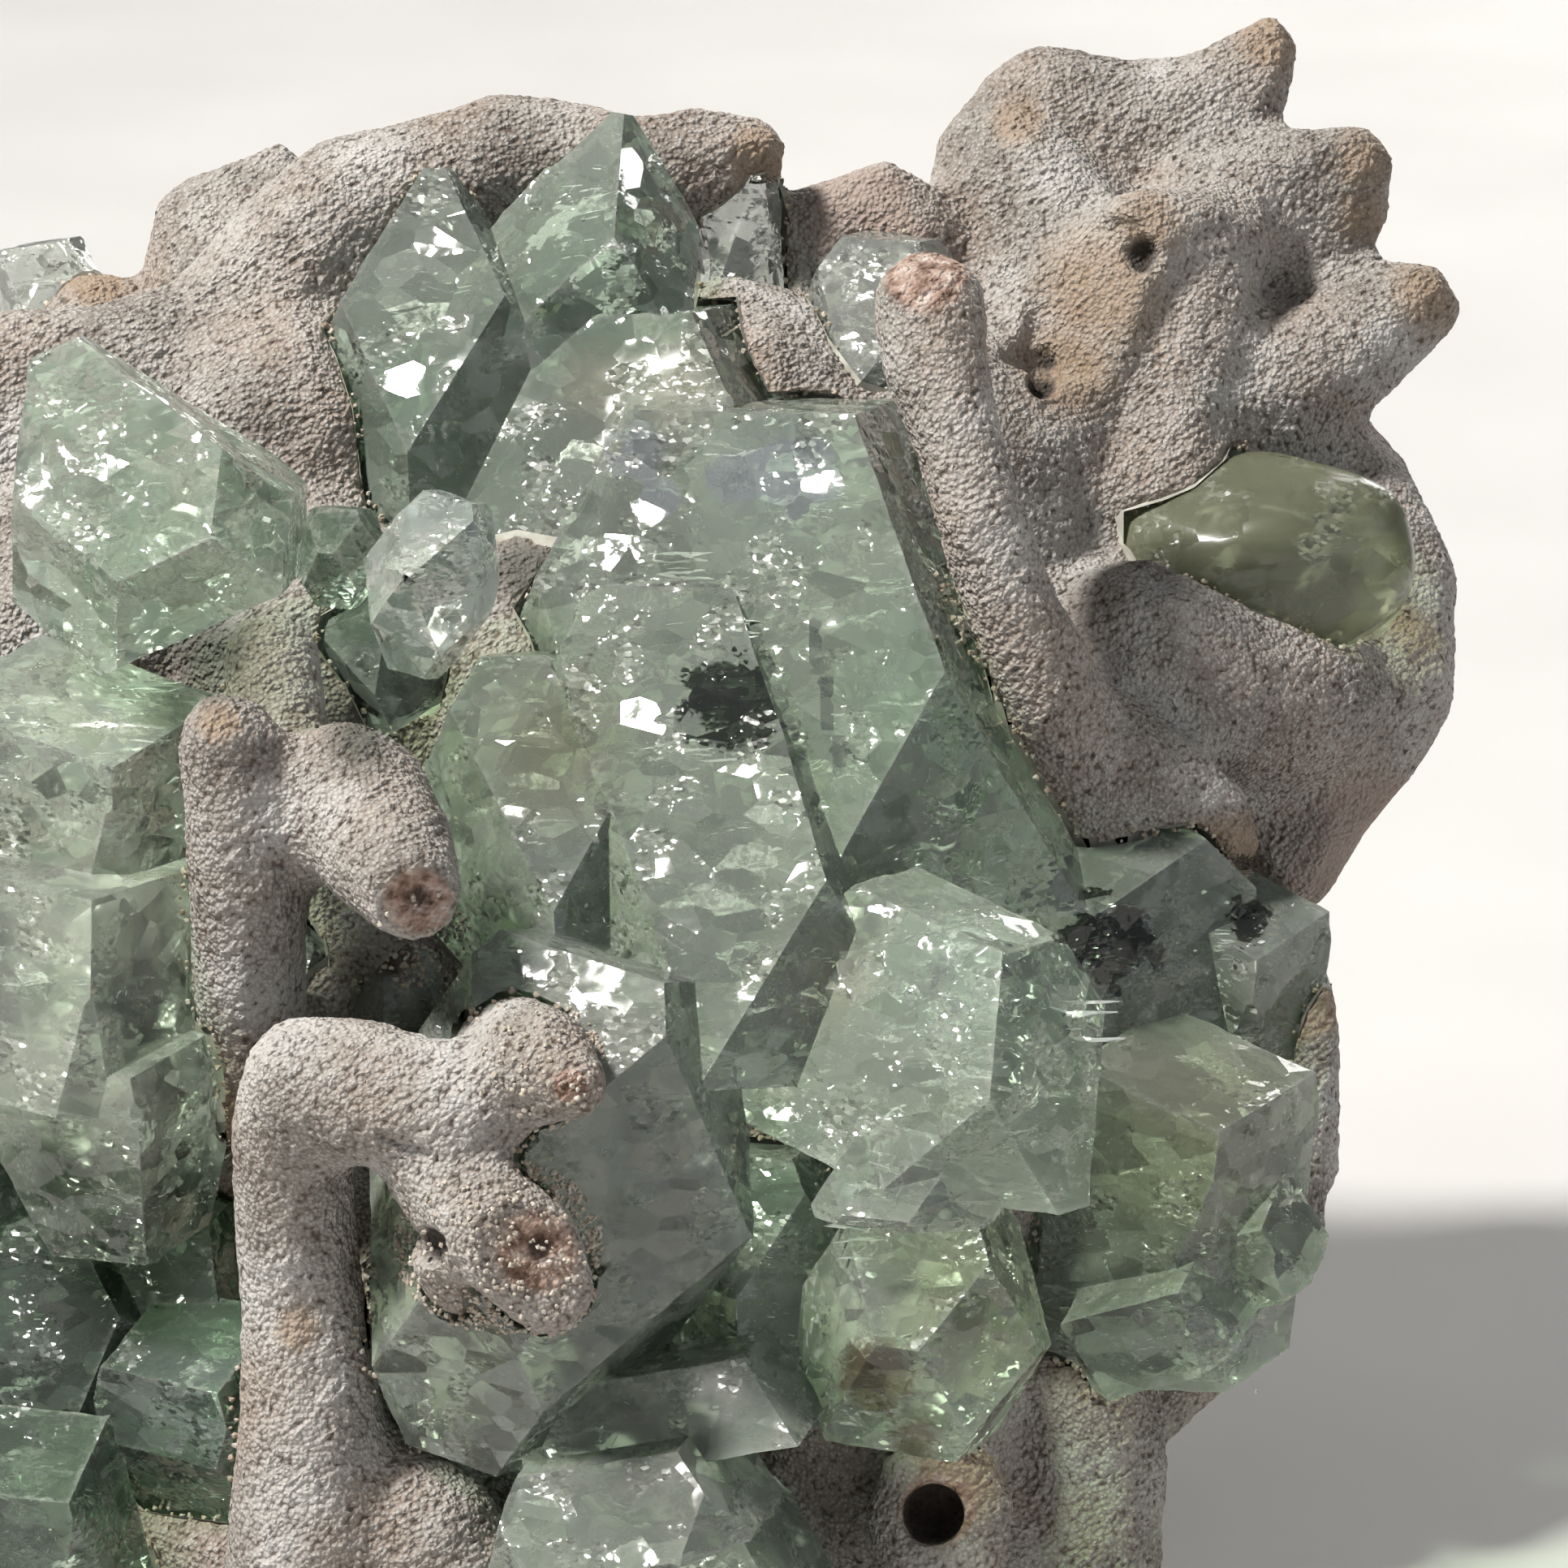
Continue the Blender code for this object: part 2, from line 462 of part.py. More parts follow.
def proud_limbs(name, grow):
    form = bmesh.new()
    for chain in PROUD_LIMBS.values():
        limb(form, chain, grow)
    item = cutter(name, form)
    soften(item, FINGER_VOXEL, FINGER_ROUNDS, FINGER_TRIANGLES)
    break_off(item, BREAKS, grow)
    return item


clear_scene()
cluster = new_collection("apophyllite_cluster")
cutters = new_collection("cutters")
matrix_stone = plain_material("matrix_stone", STONE, STONE_ROUGHNESS)
below = base_block()

# The matrix: bulk and limbs melted in one skin
body_form = bmesh.new()
for across, up, towards, radius in BULK:
    ball(body_form, from_view(across, up, towards), radius)
for chain in BODY_LIMBS.values():
    limb(body_form, chain)
matrix = add_object("matrix", body_form, cluster, matrix_stone)
soften(matrix, CORE_VOXEL, CORE_ROUNDS, CORE_TRIANGLES)
break_off(matrix, BODY_BREAKS, 0.0)

# The limbs that stand out in front, and the room that they need in the crystals
proud = proud_limbs("proud_limbs", 0.0)
proud_room = proud_limbs("proud_limbs_room", GAP)

# Crystal groups: cut free of the limbs that stand out through them
for name, crystals in CRYSTALS.items():
    group_material = plain_material(name + "_green", GREENS[name], CRYSTAL_ROUGHNESS)
    group = joined_crystals(name + "_blank", crystals, 0.0)
    boolean(group, proud_room, "DIFFERENCE")
    boolean(group, below, "DIFFERENCE")
    keep_main_piece(group)
    group.name = name
    group.data.materials.clear()
    group.data.materials.append(group_material)
    cutters.objects.unlink(group)
    cluster.objects.link(group)
    group.hide_render = False
    group.display_type = "TEXTURED"
    room = joined_crystals(name + "_room", crystals, GAP)
    boolean(matrix, room, "DIFFERENCE")

boolean(matrix, proud, "UNION")
boolean(matrix, below, "DIFFERENCE")
keep_main_piece(matrix)
for face in matrix.data.polygons:
    face.use_smooth = True

for item in cluster.objects:
    count = sum(len(f.vertices) - 2 for f in item.data.polygons)
    print(item.name, count)
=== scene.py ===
# %% [markdown]
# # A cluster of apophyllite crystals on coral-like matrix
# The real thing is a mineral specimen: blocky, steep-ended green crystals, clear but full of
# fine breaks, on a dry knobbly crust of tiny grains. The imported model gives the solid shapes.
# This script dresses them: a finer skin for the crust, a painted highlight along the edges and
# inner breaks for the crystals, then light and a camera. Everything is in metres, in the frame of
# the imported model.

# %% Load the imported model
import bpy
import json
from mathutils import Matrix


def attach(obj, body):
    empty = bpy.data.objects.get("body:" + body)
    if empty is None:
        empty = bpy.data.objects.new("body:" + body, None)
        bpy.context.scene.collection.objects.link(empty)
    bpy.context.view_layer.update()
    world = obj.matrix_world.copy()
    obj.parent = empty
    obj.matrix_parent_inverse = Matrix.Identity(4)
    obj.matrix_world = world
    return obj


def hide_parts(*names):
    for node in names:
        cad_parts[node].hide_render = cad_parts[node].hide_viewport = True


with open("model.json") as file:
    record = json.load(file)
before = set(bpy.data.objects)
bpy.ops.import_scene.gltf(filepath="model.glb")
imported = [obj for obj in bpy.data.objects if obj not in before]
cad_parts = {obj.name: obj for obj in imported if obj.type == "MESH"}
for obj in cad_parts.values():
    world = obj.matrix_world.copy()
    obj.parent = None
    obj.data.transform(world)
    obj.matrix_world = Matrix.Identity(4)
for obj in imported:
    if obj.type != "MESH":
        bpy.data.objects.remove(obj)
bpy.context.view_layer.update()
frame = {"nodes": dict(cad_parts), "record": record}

# %% Libraries
import json
import math
import random

import bmesh
import bpy
import numpy
from mathutils import Matrix, Vector, noise
from mathutils.bvhtree import BVHTree
from mathutils.kdtree import KDTree

MM = 0.001
scene = bpy.context.scene

# %% [markdown]
# ## Places as the eye sees them
# Details of a natural thing are easiest to place as one sees them: so far across, so far up,
# and so far towards the eye. The front view looks down a little, from 450 mm away, so one
# small function turns such a place into the model's own frame.

# %% A place in the front view
VIEW_RISE = math.radians(18.0)
VIEW_DISTANCE = 450.0
BASE_DROP = 50.0
RISE_SIN = math.sin(VIEW_RISE)
RISE_COS = math.cos(VIEW_RISE)


def seen_direction(across, up, towards):
    """A direction in the front view, in the model's frame."""
    return Vector((across, up * RISE_SIN - towards * RISE_COS, up * RISE_COS + towards * RISE_SIN))


def seen_place(across, up, towards):
    """A place in the front view, in millimetres, as a place in the model's frame."""
    near = 1.0 - towards / VIEW_DISTANCE
    return (seen_direction(across * near, up * near, towards) + Vector((0, 0, BASE_DROP))) * MM


EYE = seen_place(0, 0, 0) + seen_direction(0, 0, VIEW_DISTANCE) * MM
print("middle of the view:", seen_place(0, 0, 0), "eye:", EYE)

# %% [markdown]
# ## The camera
# It stands where the photograph's lens stood. The lens is long, so the perspective is weak. The
# view is as wide as the part of the specimen that the photograph shows.

# %% Camera
VIEW_WIDTH = 96.6
SENSOR = 36.0


def stand(name, data):
    """A new object in the scene, made from a mesh, a lamp or a camera."""
    item = bpy.data.objects.new(name, data)
    scene.collection.objects.link(item)
    return item


lens = bpy.data.cameras.new("camera")
lens.sensor_width = SENSOR
lens.lens = SENSOR * VIEW_DISTANCE / VIEW_WIDTH
lens.clip_start = 0.01
camera = stand("camera", lens)
camera.location = EYE
camera.rotation_euler = (math.radians(90.0) - VIEW_RISE, 0.0, 0.0)
scene.camera = camera
print("lens length:", round(lens.lens, 1))

# %% [markdown]
# ## Shader maths in plain Python
# A material is a graph of nodes, and wiring each one by hand hides the thought behind it. The
# first class below wraps one socket. Sums and products written with it add Math nodes, so a
# mask reads as the formula that it is. The second class holds one material and adds its nodes.


# %% Sockets as numbers
class Wire:
    """One output socket that can be added, subtracted, multiplied and set against a level."""

    def __init__(self, paint, socket):
        self.paint = paint
        self.socket = socket

    def _math(self, operation, *values, clamp=False):
        settings = dict(operation=operation, use_clamp=clamp)
        return self.paint.node("ShaderNodeMath", settings, dict(enumerate(values)))

    def __add__(self, other):
        return self._math("ADD", self, other)

    __radd__ = __add__

    def __sub__(self, other):
        return self._math("SUBTRACT", self, other)

    def __rsub__(self, other):
        return self._math("SUBTRACT", other, self)

    def __mul__(self, other):
        return self._math("MULTIPLY", self, other)

    __rmul__ = __mul__

    def above(self, level, width):
        """0 below a level, 1 above it, with a soft step of this width."""
        return self._math("MULTIPLY_ADD", self, 1.0 / width, 0.5 - level / width, clamp=True)


print("sockets add and multiply")


# %% Paint
class Paint:
    """One material: its node tree and the ways to add nodes to it."""

    def __init__(self, name):
        self.material = bpy.data.materials.new(name)
        self.material.use_nodes = True
        self.tree = self.material.node_tree
        self.tree.nodes.clear()

    def node(self, kind, settings=None, inputs=None, output=0):
        """Add a node: settings first, then the values or links of its sockets."""
        made = self.tree.nodes.new(kind)
        for key, value in (settings or {}).items():
            setattr(made, key, value)
        for key, value in (inputs or {}).items():
            socket = made.inputs[key]
            if isinstance(value, Wire):
                self.tree.links.new(value.socket, socket)
            else:
                socket.default_value = value
        return Wire(self, made.outputs[output])

    def place(self):
        """The place on the object, in metres."""
        return self.node("ShaderNodeTexCoord", output="Object")

    def grain(self, size, detail, rough=0.55):
        """Soft noise with lumps of this size in millimetres."""
        inputs = {"Vector": self.place(), "Scale": 1.0 / (size * MM), "Detail": detail}
        inputs["Roughness"] = rough
        return self.node("ShaderNodeTexNoise", dict(noise_dimensions="3D"), inputs, "Fac")

    def cells(self, size):
        """Distance to the middle of the nearest cell, for cells of this size in millimetres."""
        inputs = {"Vector": self.place(), "Scale": 1.0 / (size * MM)}
        return self.node("ShaderNodeTexVoronoi", dict(feature="F1"), inputs, "Distance")

    def ramp(self, value, stops):
        """The colour that belongs to a value, from a few stops along a scale from 0 to 1."""
        shown = self.node("ShaderNodeValToRGB", None, {"Fac": value}, "Color")
        scale = shown.socket.node.color_ramp
        while len(scale.elements) < len(stops):
            scale.elements.new(1.0)
        for element, (position, colour) in zip(scale.elements, stops):
            element.position = position
            element.color = (*colour, 1.0)
        return shown

    def blend(self, share, first, second):
        """Colour mix, from the first at 0 to the second at 1."""
        inputs = {0: share}
        for socket, colour in ((6, first), (7, second)):
            inputs[socket] = colour if isinstance(colour, Wire) else (*colour, 1.0)
        return self.node("ShaderNodeMix", dict(data_type="RGBA"), inputs, 2)

    def mark(self, name):
        """A number painted on the mesh's points."""
        return self.node("ShaderNodeAttribute", dict(attribute_name=name), None, "Fac")

    def bump(self, height, distance):
        """Relief: a height of 1 stands this many millimetres out."""
        inputs = {"Height": height, "Distance": distance * MM, "Strength": 1.0}
        return self.node("ShaderNodeBump", None, inputs, "Normal")

    def surface(self, **inputs):
        """The all-round surface shader, its sockets named with _ for a blank."""
        named = {key.replace("_", " "): value for key, value in inputs.items()}
        return self.node("ShaderNodeBsdfPrincipled", None, named, "BSDF")

    def finish(self, surface, volume=None):
        """Link the surface, and the inside where there is one, to the material's output."""
        end = self.tree.nodes.new("ShaderNodeOutputMaterial")
        self.tree.links.new(surface.socket, end.inputs["Surface"])
        if volume:
            self.tree.links.new(volume.socket, end.inputs["Volume"])
        return self.material


print("paint box ready")

# %% [markdown]
# ## Floor and light
# A pale table and studio light. The key lamp is a disk at the upper left, as in the photograph,
# so that fingers and crystals throw their shadows down to the right. A wide weak lamp fills
# from the right, and one behind the specimen lets its rims shine.

# %% Floor
FLOOR_HALF = 3.0


def new_piece(name, form):
    """A new object from a mesh form, ready in the scene."""
    mesh = bpy.data.meshes.new(name)
    form.to_mesh(mesh)
    form.free()
    return stand(name, mesh)


floor_form = bmesh.new()
bmesh.ops.create_grid(floor_form, x_segments=2, y_segments=2, size=FLOOR_HALF)
floor = new_piece("floor", floor_form)
paint = Paint("pale_table")
tone = paint.ramp(paint.grain(40.0, 1.0), [(0.3, (0.56, 0.55, 0.535)), (0.7, (0.60, 0.59, 0.575))])
floor.data.materials.append(paint.finish(paint.surface(Base_Color=tone, Roughness=0.8)))
print("floor:", 2 * FLOOR_HALF, "m across")

# %% Lamps
# Places in millimetres as the eye sees them, sizes in metres, power in watts
LAMPS = {
    "key": dict(place=(-460, 600, 330), size=0.13, power=12.0, colour=(1.0, 0.97, 0.93)),
    "fill": dict(place=(620, 120, 520), size=0.7, power=0.9, colour=(0.90, 0.95, 1.0)),
    "back": dict(place=(260, 520, -520), size=0.4, power=3.0, colour=(1.0, 0.98, 0.95)),
}
for name, lamp in LAMPS.items():
    light = bpy.data.lights.new(name, "AREA")
    light.shape = "DISK"
    light.size = lamp["size"]
    light.energy = lamp["power"]
    light.color = lamp["colour"]
    item = stand(name, light)
    item.location = seen_place(0, 0, 0) + seen_direction(*lamp["place"]) * MM
    item.rotation_euler = (seen_place(0, 0, 0) - item.location).to_track_quat("-Z", "Y").to_euler()
print("lamps:", len(LAMPS))

# %% Light from all round
ROOM_COLOUR = (0.80, 0.82, 0.85, 1.0)
ROOM_STRENGTH = 0.21
world = bpy.data.worlds.new("studio")
world.use_nodes = True
background = world.node_tree.nodes["Background"]
background.inputs["Color"].default_value = ROOM_COLOUR
background.inputs["Strength"].default_value = ROOM_STRENGTH
scene.world = world
print("room light:", ROOM_STRENGTH)

# %% [markdown]
# ## How light is followed and shown
# Light in a heap of cracked crystals could bounce for ever. Six bounces are enough to see
# through two crystals. Light that glass would gather into sharp spots is left out, and the
# crystals' shadows are tinted instead. Parts of the picture that are clean early get fewer
# samples. The plain colour transform keeps the contrast of a photograph.

# %% Bounces and colour
scene.cycles.max_bounces = 6
scene.cycles.diffuse_bounces = 2
scene.cycles.glossy_bounces = 2
scene.cycles.transmission_bounces = 5
scene.cycles.transparent_max_bounces = 8
scene.cycles.caustics_reflective = False
scene.cycles.caustics_refractive = False
scene.cycles.adaptive_threshold = 0.14
scene.cycles.adaptive_min_samples = 8
scene.view_settings.view_transform = "Standard"
scene.view_settings.exposure = 0.0
print("bounces:", scene.cycles.max_bounces)

# %% [markdown]
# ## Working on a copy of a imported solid
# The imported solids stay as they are. To give one a finer skin, its mesh is copied, the copy is
# changed and then stands for the solid. Points that lie on each other are merged first, so that
# the copy is closed again. Points are read and moved as whole tables, which is quick even for
# hundreds of thousands of them.

# %% Copies of the solids
SAME_PLACE = 1e-7
solids = {node: item.data for node, item in frame["nodes"].items()}


def closed_form(mesh):
    """A mesh form of a solid, with points that lie on each other merged."""
    form = bmesh.new()
    form.from_mesh(mesh)
    bmesh.ops.remove_doubles(form, verts=form.verts, dist=SAME_PLACE)
    return form


def settle(item):
    """Make the modifiers' result the object's own mesh."""
    graph = bpy.context.evaluated_depsgraph_get()
    mesh = bpy.data.meshes.new_from_object(item.evaluated_get(graph))
    old = item.data
    item.modifiers.clear()
    item.data = mesh
    bpy.data.meshes.remove(old)


print("solids:", len(solids))


# %% Points and marks of a mesh
def points_of(mesh):
    """The mesh's points and their normals as two tables."""
    places = numpy.empty(len(mesh.vertices) * 3)
    normals = numpy.empty(len(mesh.vertices) * 3)
    mesh.vertices.foreach_get("co", places)
    mesh.vertices.foreach_get("normal", normals)
    return places.reshape(-1, 3), normals.reshape(-1, 3)


def move_points(mesh, places):
    """Set all points of the mesh to new places."""
    mesh.vertices.foreach_set("co", places.ravel())
    mesh.update()


def paint_mark(mesh, name, values):
    """Store a number on each point of the mesh, for the material to read."""
    mark = mesh.attributes.new(name, "FLOAT", "POINT")
    mark.data.foreach_set("value", numpy.asarray(values, numpy.float32))


def dress(item, material, slot, node):
    """Give a piece its material and its body, and hide the solid that it stands for; the slot is not
    used.
    """
    item.data.materials.clear()
    item.data.materials.append(material)
    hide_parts(node)
    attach(item, "root")


print("marks and dressing ready")

# %% [markdown]
# ## Marks set by eye
# Tan tips, broken ends, pits and tints are named by where the eye sees them. Every point of a
# mesh is turned into the same across, up and towards, so one distance tells how near it is.


# %% Nearness to a mark
def seen(places):
    """Across, up and towards of many points, in millimetres."""
    across, y, z = (places / MM).T
    z = z - BASE_DROP
    towards = z * RISE_SIN - y * RISE_COS
    near = 1.0 - towards / VIEW_DISTANCE
    return across / near, (y * RISE_SIN + z * RISE_COS) / near, towards


DEPTH_EASE = 0.4
SPOT_SLOPE = 1.4


def nearness(places, spots):
    """How near each point lies to the spots: 1 at a spot, 0 beyond its reach, at any depth for None."""
    across, up, towards = seen(places)
    found = numpy.zeros(len(places))
    for (a, u, t), reach in spots:
        deep = 0.0 if t is None else DEPTH_EASE * (towards - t)
        apart = numpy.sqrt((across - a) ** 2 + (up - u) ** 2 + deep ** 2) / reach
        found = numpy.maximum(found, numpy.clip(SPOT_SLOPE - apart * SPOT_SLOPE, 0.0, 1.0))
    return found


def soft_noise(places, size, shift=0.0):
    """Smooth noise of about -1 to 1 for many points, with lumps of this size in millimetres."""
    scale = 1.0 / (size * MM)
    offset = Vector((shift, shift * 0.7, -shift))
    return numpy.array([noise.noise(Vector(p) * scale + offset) for p in places])


print("marks ready")

# %% [markdown]
# ## The crust of the matrix
# The matrix is a dry crust of tiny grains over rounded knobs. A very fine voxel skin is laid over
# the smooth solid and its points are moved: by slow swells, and each on its own, so that
# neighbours stand at different heights and read as single grains. The grains are real
# geometry, so the outline looks furry too. Walls that lie behind crystals stay plain.

# %% Where the crust differs
# Each spot: across, up and towards in millimetres, with None for any depth, and its reach
BROKEN_ENDS = [
    ((-22.6, -7.2, 27.2), 3.0), ((8.8, 31.6, 4.0), 3.8), ((-15.2, -28.8, 30.6), 3.6),
    ((-13.2, -18.6, 31.5), 1.6), ((9.6, -44.6, 13.0), 3.4),
]
TAN_TIPS = [
    ((30.0, 45.9, -28), 3.0), ((35.6, 38.4, -27), 3.2), ((35.4, 35.0, -27), 3.0),
    ((39.4, 30.0, -24), 3.6), ((27.8, -4.0, -4), 3.4), ((-1.5, 38.8, -17), 3.0),
    ((-34.8, 3.8, 23), 2.0), ((39.0, 9.0, -20), 2.4), ((-42.3, 30.5, -23), 3.0),
    ((32.8, -14.0, -6), 2.6), ((30.5, -29.0, -4), 3.0), ((11.0, -43.0, 12), 4.0),
    ((14.4, 40.6, -24), 2.6), ((-30.0, -33.6, 22), 2.2), ((-32.8, -21.0, 16), 3.0),
]
TAN_FACES = [((19.4, 30.6, -16), 6.4), ((17.4, 25.6, -15), 5.0), ((22.4, 34.4, -16), 3.6)]
PINK_PATCHES = [
    ((36.0, -2.6, -19), 5.0), ((33.5, -6.0, -18), 4.0), ((4.6, 35.0, -20), 4.6), ((7.0, 33.0, -20), 3.4),
]
SHADED = [((-36.0, 8.8, None), 5.0), ((-26.0, 3.0, None), 3.0), ((-15.8, 13.2, None), 3.8)]
print("broken ends:", len(BROKEN_ENDS), "tan tips:", len(TAN_TIPS))

# %% Pits
# Each: the place, its reach and its depth. The last ones are a row: the bent finger's crack.
PITS = [
    ((15.9, 26.2, -14), 0.9, 1.5), ((15.9, 24.6, -14), 0.9, 1.5), ((16.0, 23.0, -14), 0.8, 1.2),
    ((22.1, 32.6, -15), 1.0, 1.4), ((-21.2, -28.2, 26), 1.3, 2.0), ((9.2, -45.0, 13), 1.5, 2.4),
    ((7.0, 33.9, 3), 0.7, 0.7), ((-22.4, -7.0, 27), 0.8, 0.6), ((-15.0, -28.6, 30), 0.9, 0.6),
]
PITS += [((-24.8 + 0.7 * k, -21.8 - 0.27 * k, 28.5), 0.4, 0.5) for k in range(10)]
PIT_WIDTH = 1.4
print("pits:", len(PITS))

# %% A very fine skin
CRUST_VOXEL = 0.385
MELT_SHARE = 0.5
MELT_ROUNDS = 9
crust = new_piece("crust", closed_form(solids["matrix"]))
skin = crust.modifiers.new("Skin", "REMESH")
skin.mode = "VOXEL"
skin.voxel_size = CRUST_VOXEL * MM
melt = crust.modifiers.new("Melt", "SMOOTH")
melt.factor = MELT_SHARE
melt.iterations = MELT_ROUNDS
settle(crust)
print("skin points:", len(crust.data.vertices))


# %% Search trees
def tree_of(*meshes):
    """One search tree over the faces of several meshes."""
    form = bmesh.new()
    for mesh in meshes:
        form.from_mesh(mesh)
    tree = BVHTree.FromBMesh(form)
    form.free()
    return tree


crystal_nodes = [node for node in sorted(solids) if node != "matrix"]
crystal_tree = tree_of(*[solids[node] for node in crystal_nodes])
print("crystals to look for:", len(crystal_nodes))

# %% Walls behind crystals
# A point is hidden when a crystal is near and lies ahead of it, or when it is on the cut base
SEARCH_WITHIN = 3.0
FAR_AWAY = 9.0
HIDDEN_WITHIN = 0.62
HIDDEN_AHEAD = 0.5
BASE_FACING = -0.9
skin_places, skin_normals = points_of(crust.data)
gap = numpy.full(len(skin_places), FAR_AWAY)
ahead = numpy.zeros(len(skin_places))
for index, (place, normal) in enumerate(zip(skin_places, skin_normals)):
    found = crystal_tree.find_nearest(Vector(place), SEARCH_WITHIN * MM)
    if found[0] is not None:
        gap[index] = found[3] / MM
        ahead[index] = (found[0] - Vector(place)).normalized().dot(Vector(normal))
base = (skin_places[:, 2] < 0.5 * CRUST_VOXEL * MM) & (skin_normals[:, 2] < BASE_FACING)
hidden = ((gap < HIDDEN_WITHIN) & (ahead > HIDDEN_AHEAD)) | base
print("points behind crystals or on the base:", int(hidden.sum()))

# %% How rough the crust is
# Broken ends, pink patches and the tan face are smoother, and the cut base is flat
GRAIN_SEED = 5
BASE_EDGE = 1.0
crust_chance = numpy.random.default_rng(GRAIN_SEED)
marks = {"broken": nearness(skin_places, BROKEN_ENDS), "tan": nearness(skin_places, TAN_TIPS),
         "tan_face": nearness(skin_places, TAN_FACES), "pink": nearness(skin_places, PINK_PATCHES)}
above_base = numpy.clip(skin_places[:, 2] / (BASE_EDGE * MM), 0.0, 1.0)
rough = above_base * (1.0 - 0.6 * marks["broken"]) * (1.0 - 0.7 * marks["pink"])
rough = rough * (1.0 - 0.55 * marks["tan_face"])
print("mean roughness:", round(float(rough.mean()), 3))

# %% Swells, grains and pits
WIDE_SWELL = 0.20
SMALL_SWELL = 0.12
GRAIN_HEIGHT = 0.11
GRAIN_SIDEWAYS = 0.10
GRAIN_MIDDLE = 0.55
clear_of_crystals = numpy.clip((gap - 0.3) / 0.8, 0.0, 1.0)
swell = soft_noise(skin_places, 5.0) * WIDE_SWELL + soft_noise(skin_places, 1.9, 7.0) * SMALL_SWELL
marks["grain"] = crust_chance.random(len(skin_places)) ** 0.7
pit_depth = numpy.zeros(len(skin_places))
for spot, reach, depth in PITS:
    pit_depth = numpy.maximum(pit_depth, nearness(skin_places, [(spot, reach * PIT_WIDTH)]) * depth)
grain_height = (marks["grain"] - GRAIN_MIDDLE) * GRAIN_HEIGHT
height = rough * (swell * clear_of_crystals + grain_height) - pit_depth
sideways = (crust_chance.random((len(skin_places), 3)) - 0.5) * GRAIN_SIDEWAYS * rough[:, None]
move_points(crust.data, skin_places + (skin_normals * height[:, None] + sideways) * MM)
print("grains:", len(skin_places), "deepest pit:", float(pit_depth.max()))

# %% Marks for the colour
tone = soft_noise(skin_places, 8.0, 3.0) * 0.5 + soft_noise(skin_places, 2.6, 5.0) * 0.35 + 0.5
to_front = skin_normals @ numpy.array(seen_direction(0, 0, 1))
marks["tone"] = tone
marks["warm"] = numpy.clip(soft_noise(skin_places, 7.0, 21.0) * 1.6 + 0.25, 0.0, 1.0)
marks["rim"] = 1.0 - numpy.clip((gap - 0.5) / 1.3, 0.0, 1.0)
marks["shade"] = nearness(skin_places, SHADED) * (to_front > 0.0)
marks["pit_shade"] = numpy.clip(pit_depth, 0.0, 1.0)
print("marks:", sorted(marks))

# %% [markdown]
# ## The crust's colour
# Cream and warm grey in slow patches. Raised grains get a painted highlight, and the gaps between
# them a dark brown painted shade. The tips have a tan rim, the broken ends show a pinkish brown
# core, and a tan line follows the crystals. Most of this was worked out per grain above, so the
# material only blends colours. Its own fine cells and noise add the sugary sparkle that is too
# small for the mesh, as relief and through the painted highlight and shade.

# %% Crust material
# Painted light: the grain top colour is a painted highlight; the colours between grains, of the shaded
# spots and of the pits are painted shade
CRUST_COLOURS = {
    "warm": (0.32, 0.255, 0.21), "grain_top_highlight": (0.60, 0.59, 0.565), "between": (0.085, 0.058, 0.042),
    "tan": (0.31, 0.215, 0.135), "pink": (0.34, 0.26, 0.22), "shade": (0.06, 0.065, 0.05),
    "pit_shade": (0.03, 0.024, 0.02),
}
CRUST_TONES = [(0.15, (0.215, 0.19, 0.165)), (0.5, (0.33, 0.305, 0.275)), (0.85, (0.46, 0.445, 0.42))]
CORE_TONES = [(0.35, (0.15, 0.09, 0.06)), (0.5, (0.36, 0.25, 0.20)), (0.68, (0.56, 0.47, 0.41))]
CRUST_RELIEF = 0.34
paint = Paint("crust_stone")
sugar = paint.cells(0.31)
fine = paint.grain(0.22, 1.0, 0.7)
height = paint.mark("grain") * 0.35 + (1.0 - sugar * 0.9) * 0.65
body = paint.ramp(paint.mark("tone"), CRUST_TONES)
body = paint.blend(paint.mark("warm") * 0.6, body, CRUST_COLOURS["warm"])
# Painted highlight on raised grains, painted shade in the gaps between them
body = paint.blend(height.above(0.68, 0.20) * 0.45, body, CRUST_COLOURS["grain_top_highlight"])
body = paint.blend((1.0 - height.above(0.37, 0.16)) * 0.80, body, CRUST_COLOURS["between"])
tan_share = paint.mark("tan") * 0.9 + paint.mark("tan_face") * 0.75 + paint.mark("rim") * 0.4
body = paint.blend((tan_share + fine * 0.4).above(0.66, 0.5) * 0.62, body, CRUST_COLOURS["tan"])
body = paint.blend((paint.mark("pink") + fine * 0.3).above(0.55, 0.4) * 0.7, body, CRUST_COLOURS["pink"])
core = paint.ramp(paint.grain(1.1, 2.0), CORE_TONES)
body = paint.blend(paint.mark("broken").above(0.42, 0.25), body, core)
body = paint.blend(paint.mark("shade") * 0.8, body, CRUST_COLOURS["shade"])
# Painted shade: pits and holes are darkened nearly to black
body = paint.blend(paint.mark("pit_shade").above(0.45, 0.4) * 0.92, body, CRUST_COLOURS["pit_shade"])
relief = paint.bump(height + fine * 0.25, CRUST_RELIEF)
crust_stone = paint.finish(paint.surface(Base_Color=body, Roughness=0.9, Normal=relief))
print("crust material ready")


# %% The crust in pieces
# Cut into slices from left to right with the same number of faces in each
CRUST_PIECES = 4


def table_piece(name, places, faces):
    """A new object from a table of points and a table of faces."""
    mesh = bpy.data.meshes.new(name)
    mesh.from_pydata(places.tolist(), [], faces.tolist())
    return stand(name, mesh)


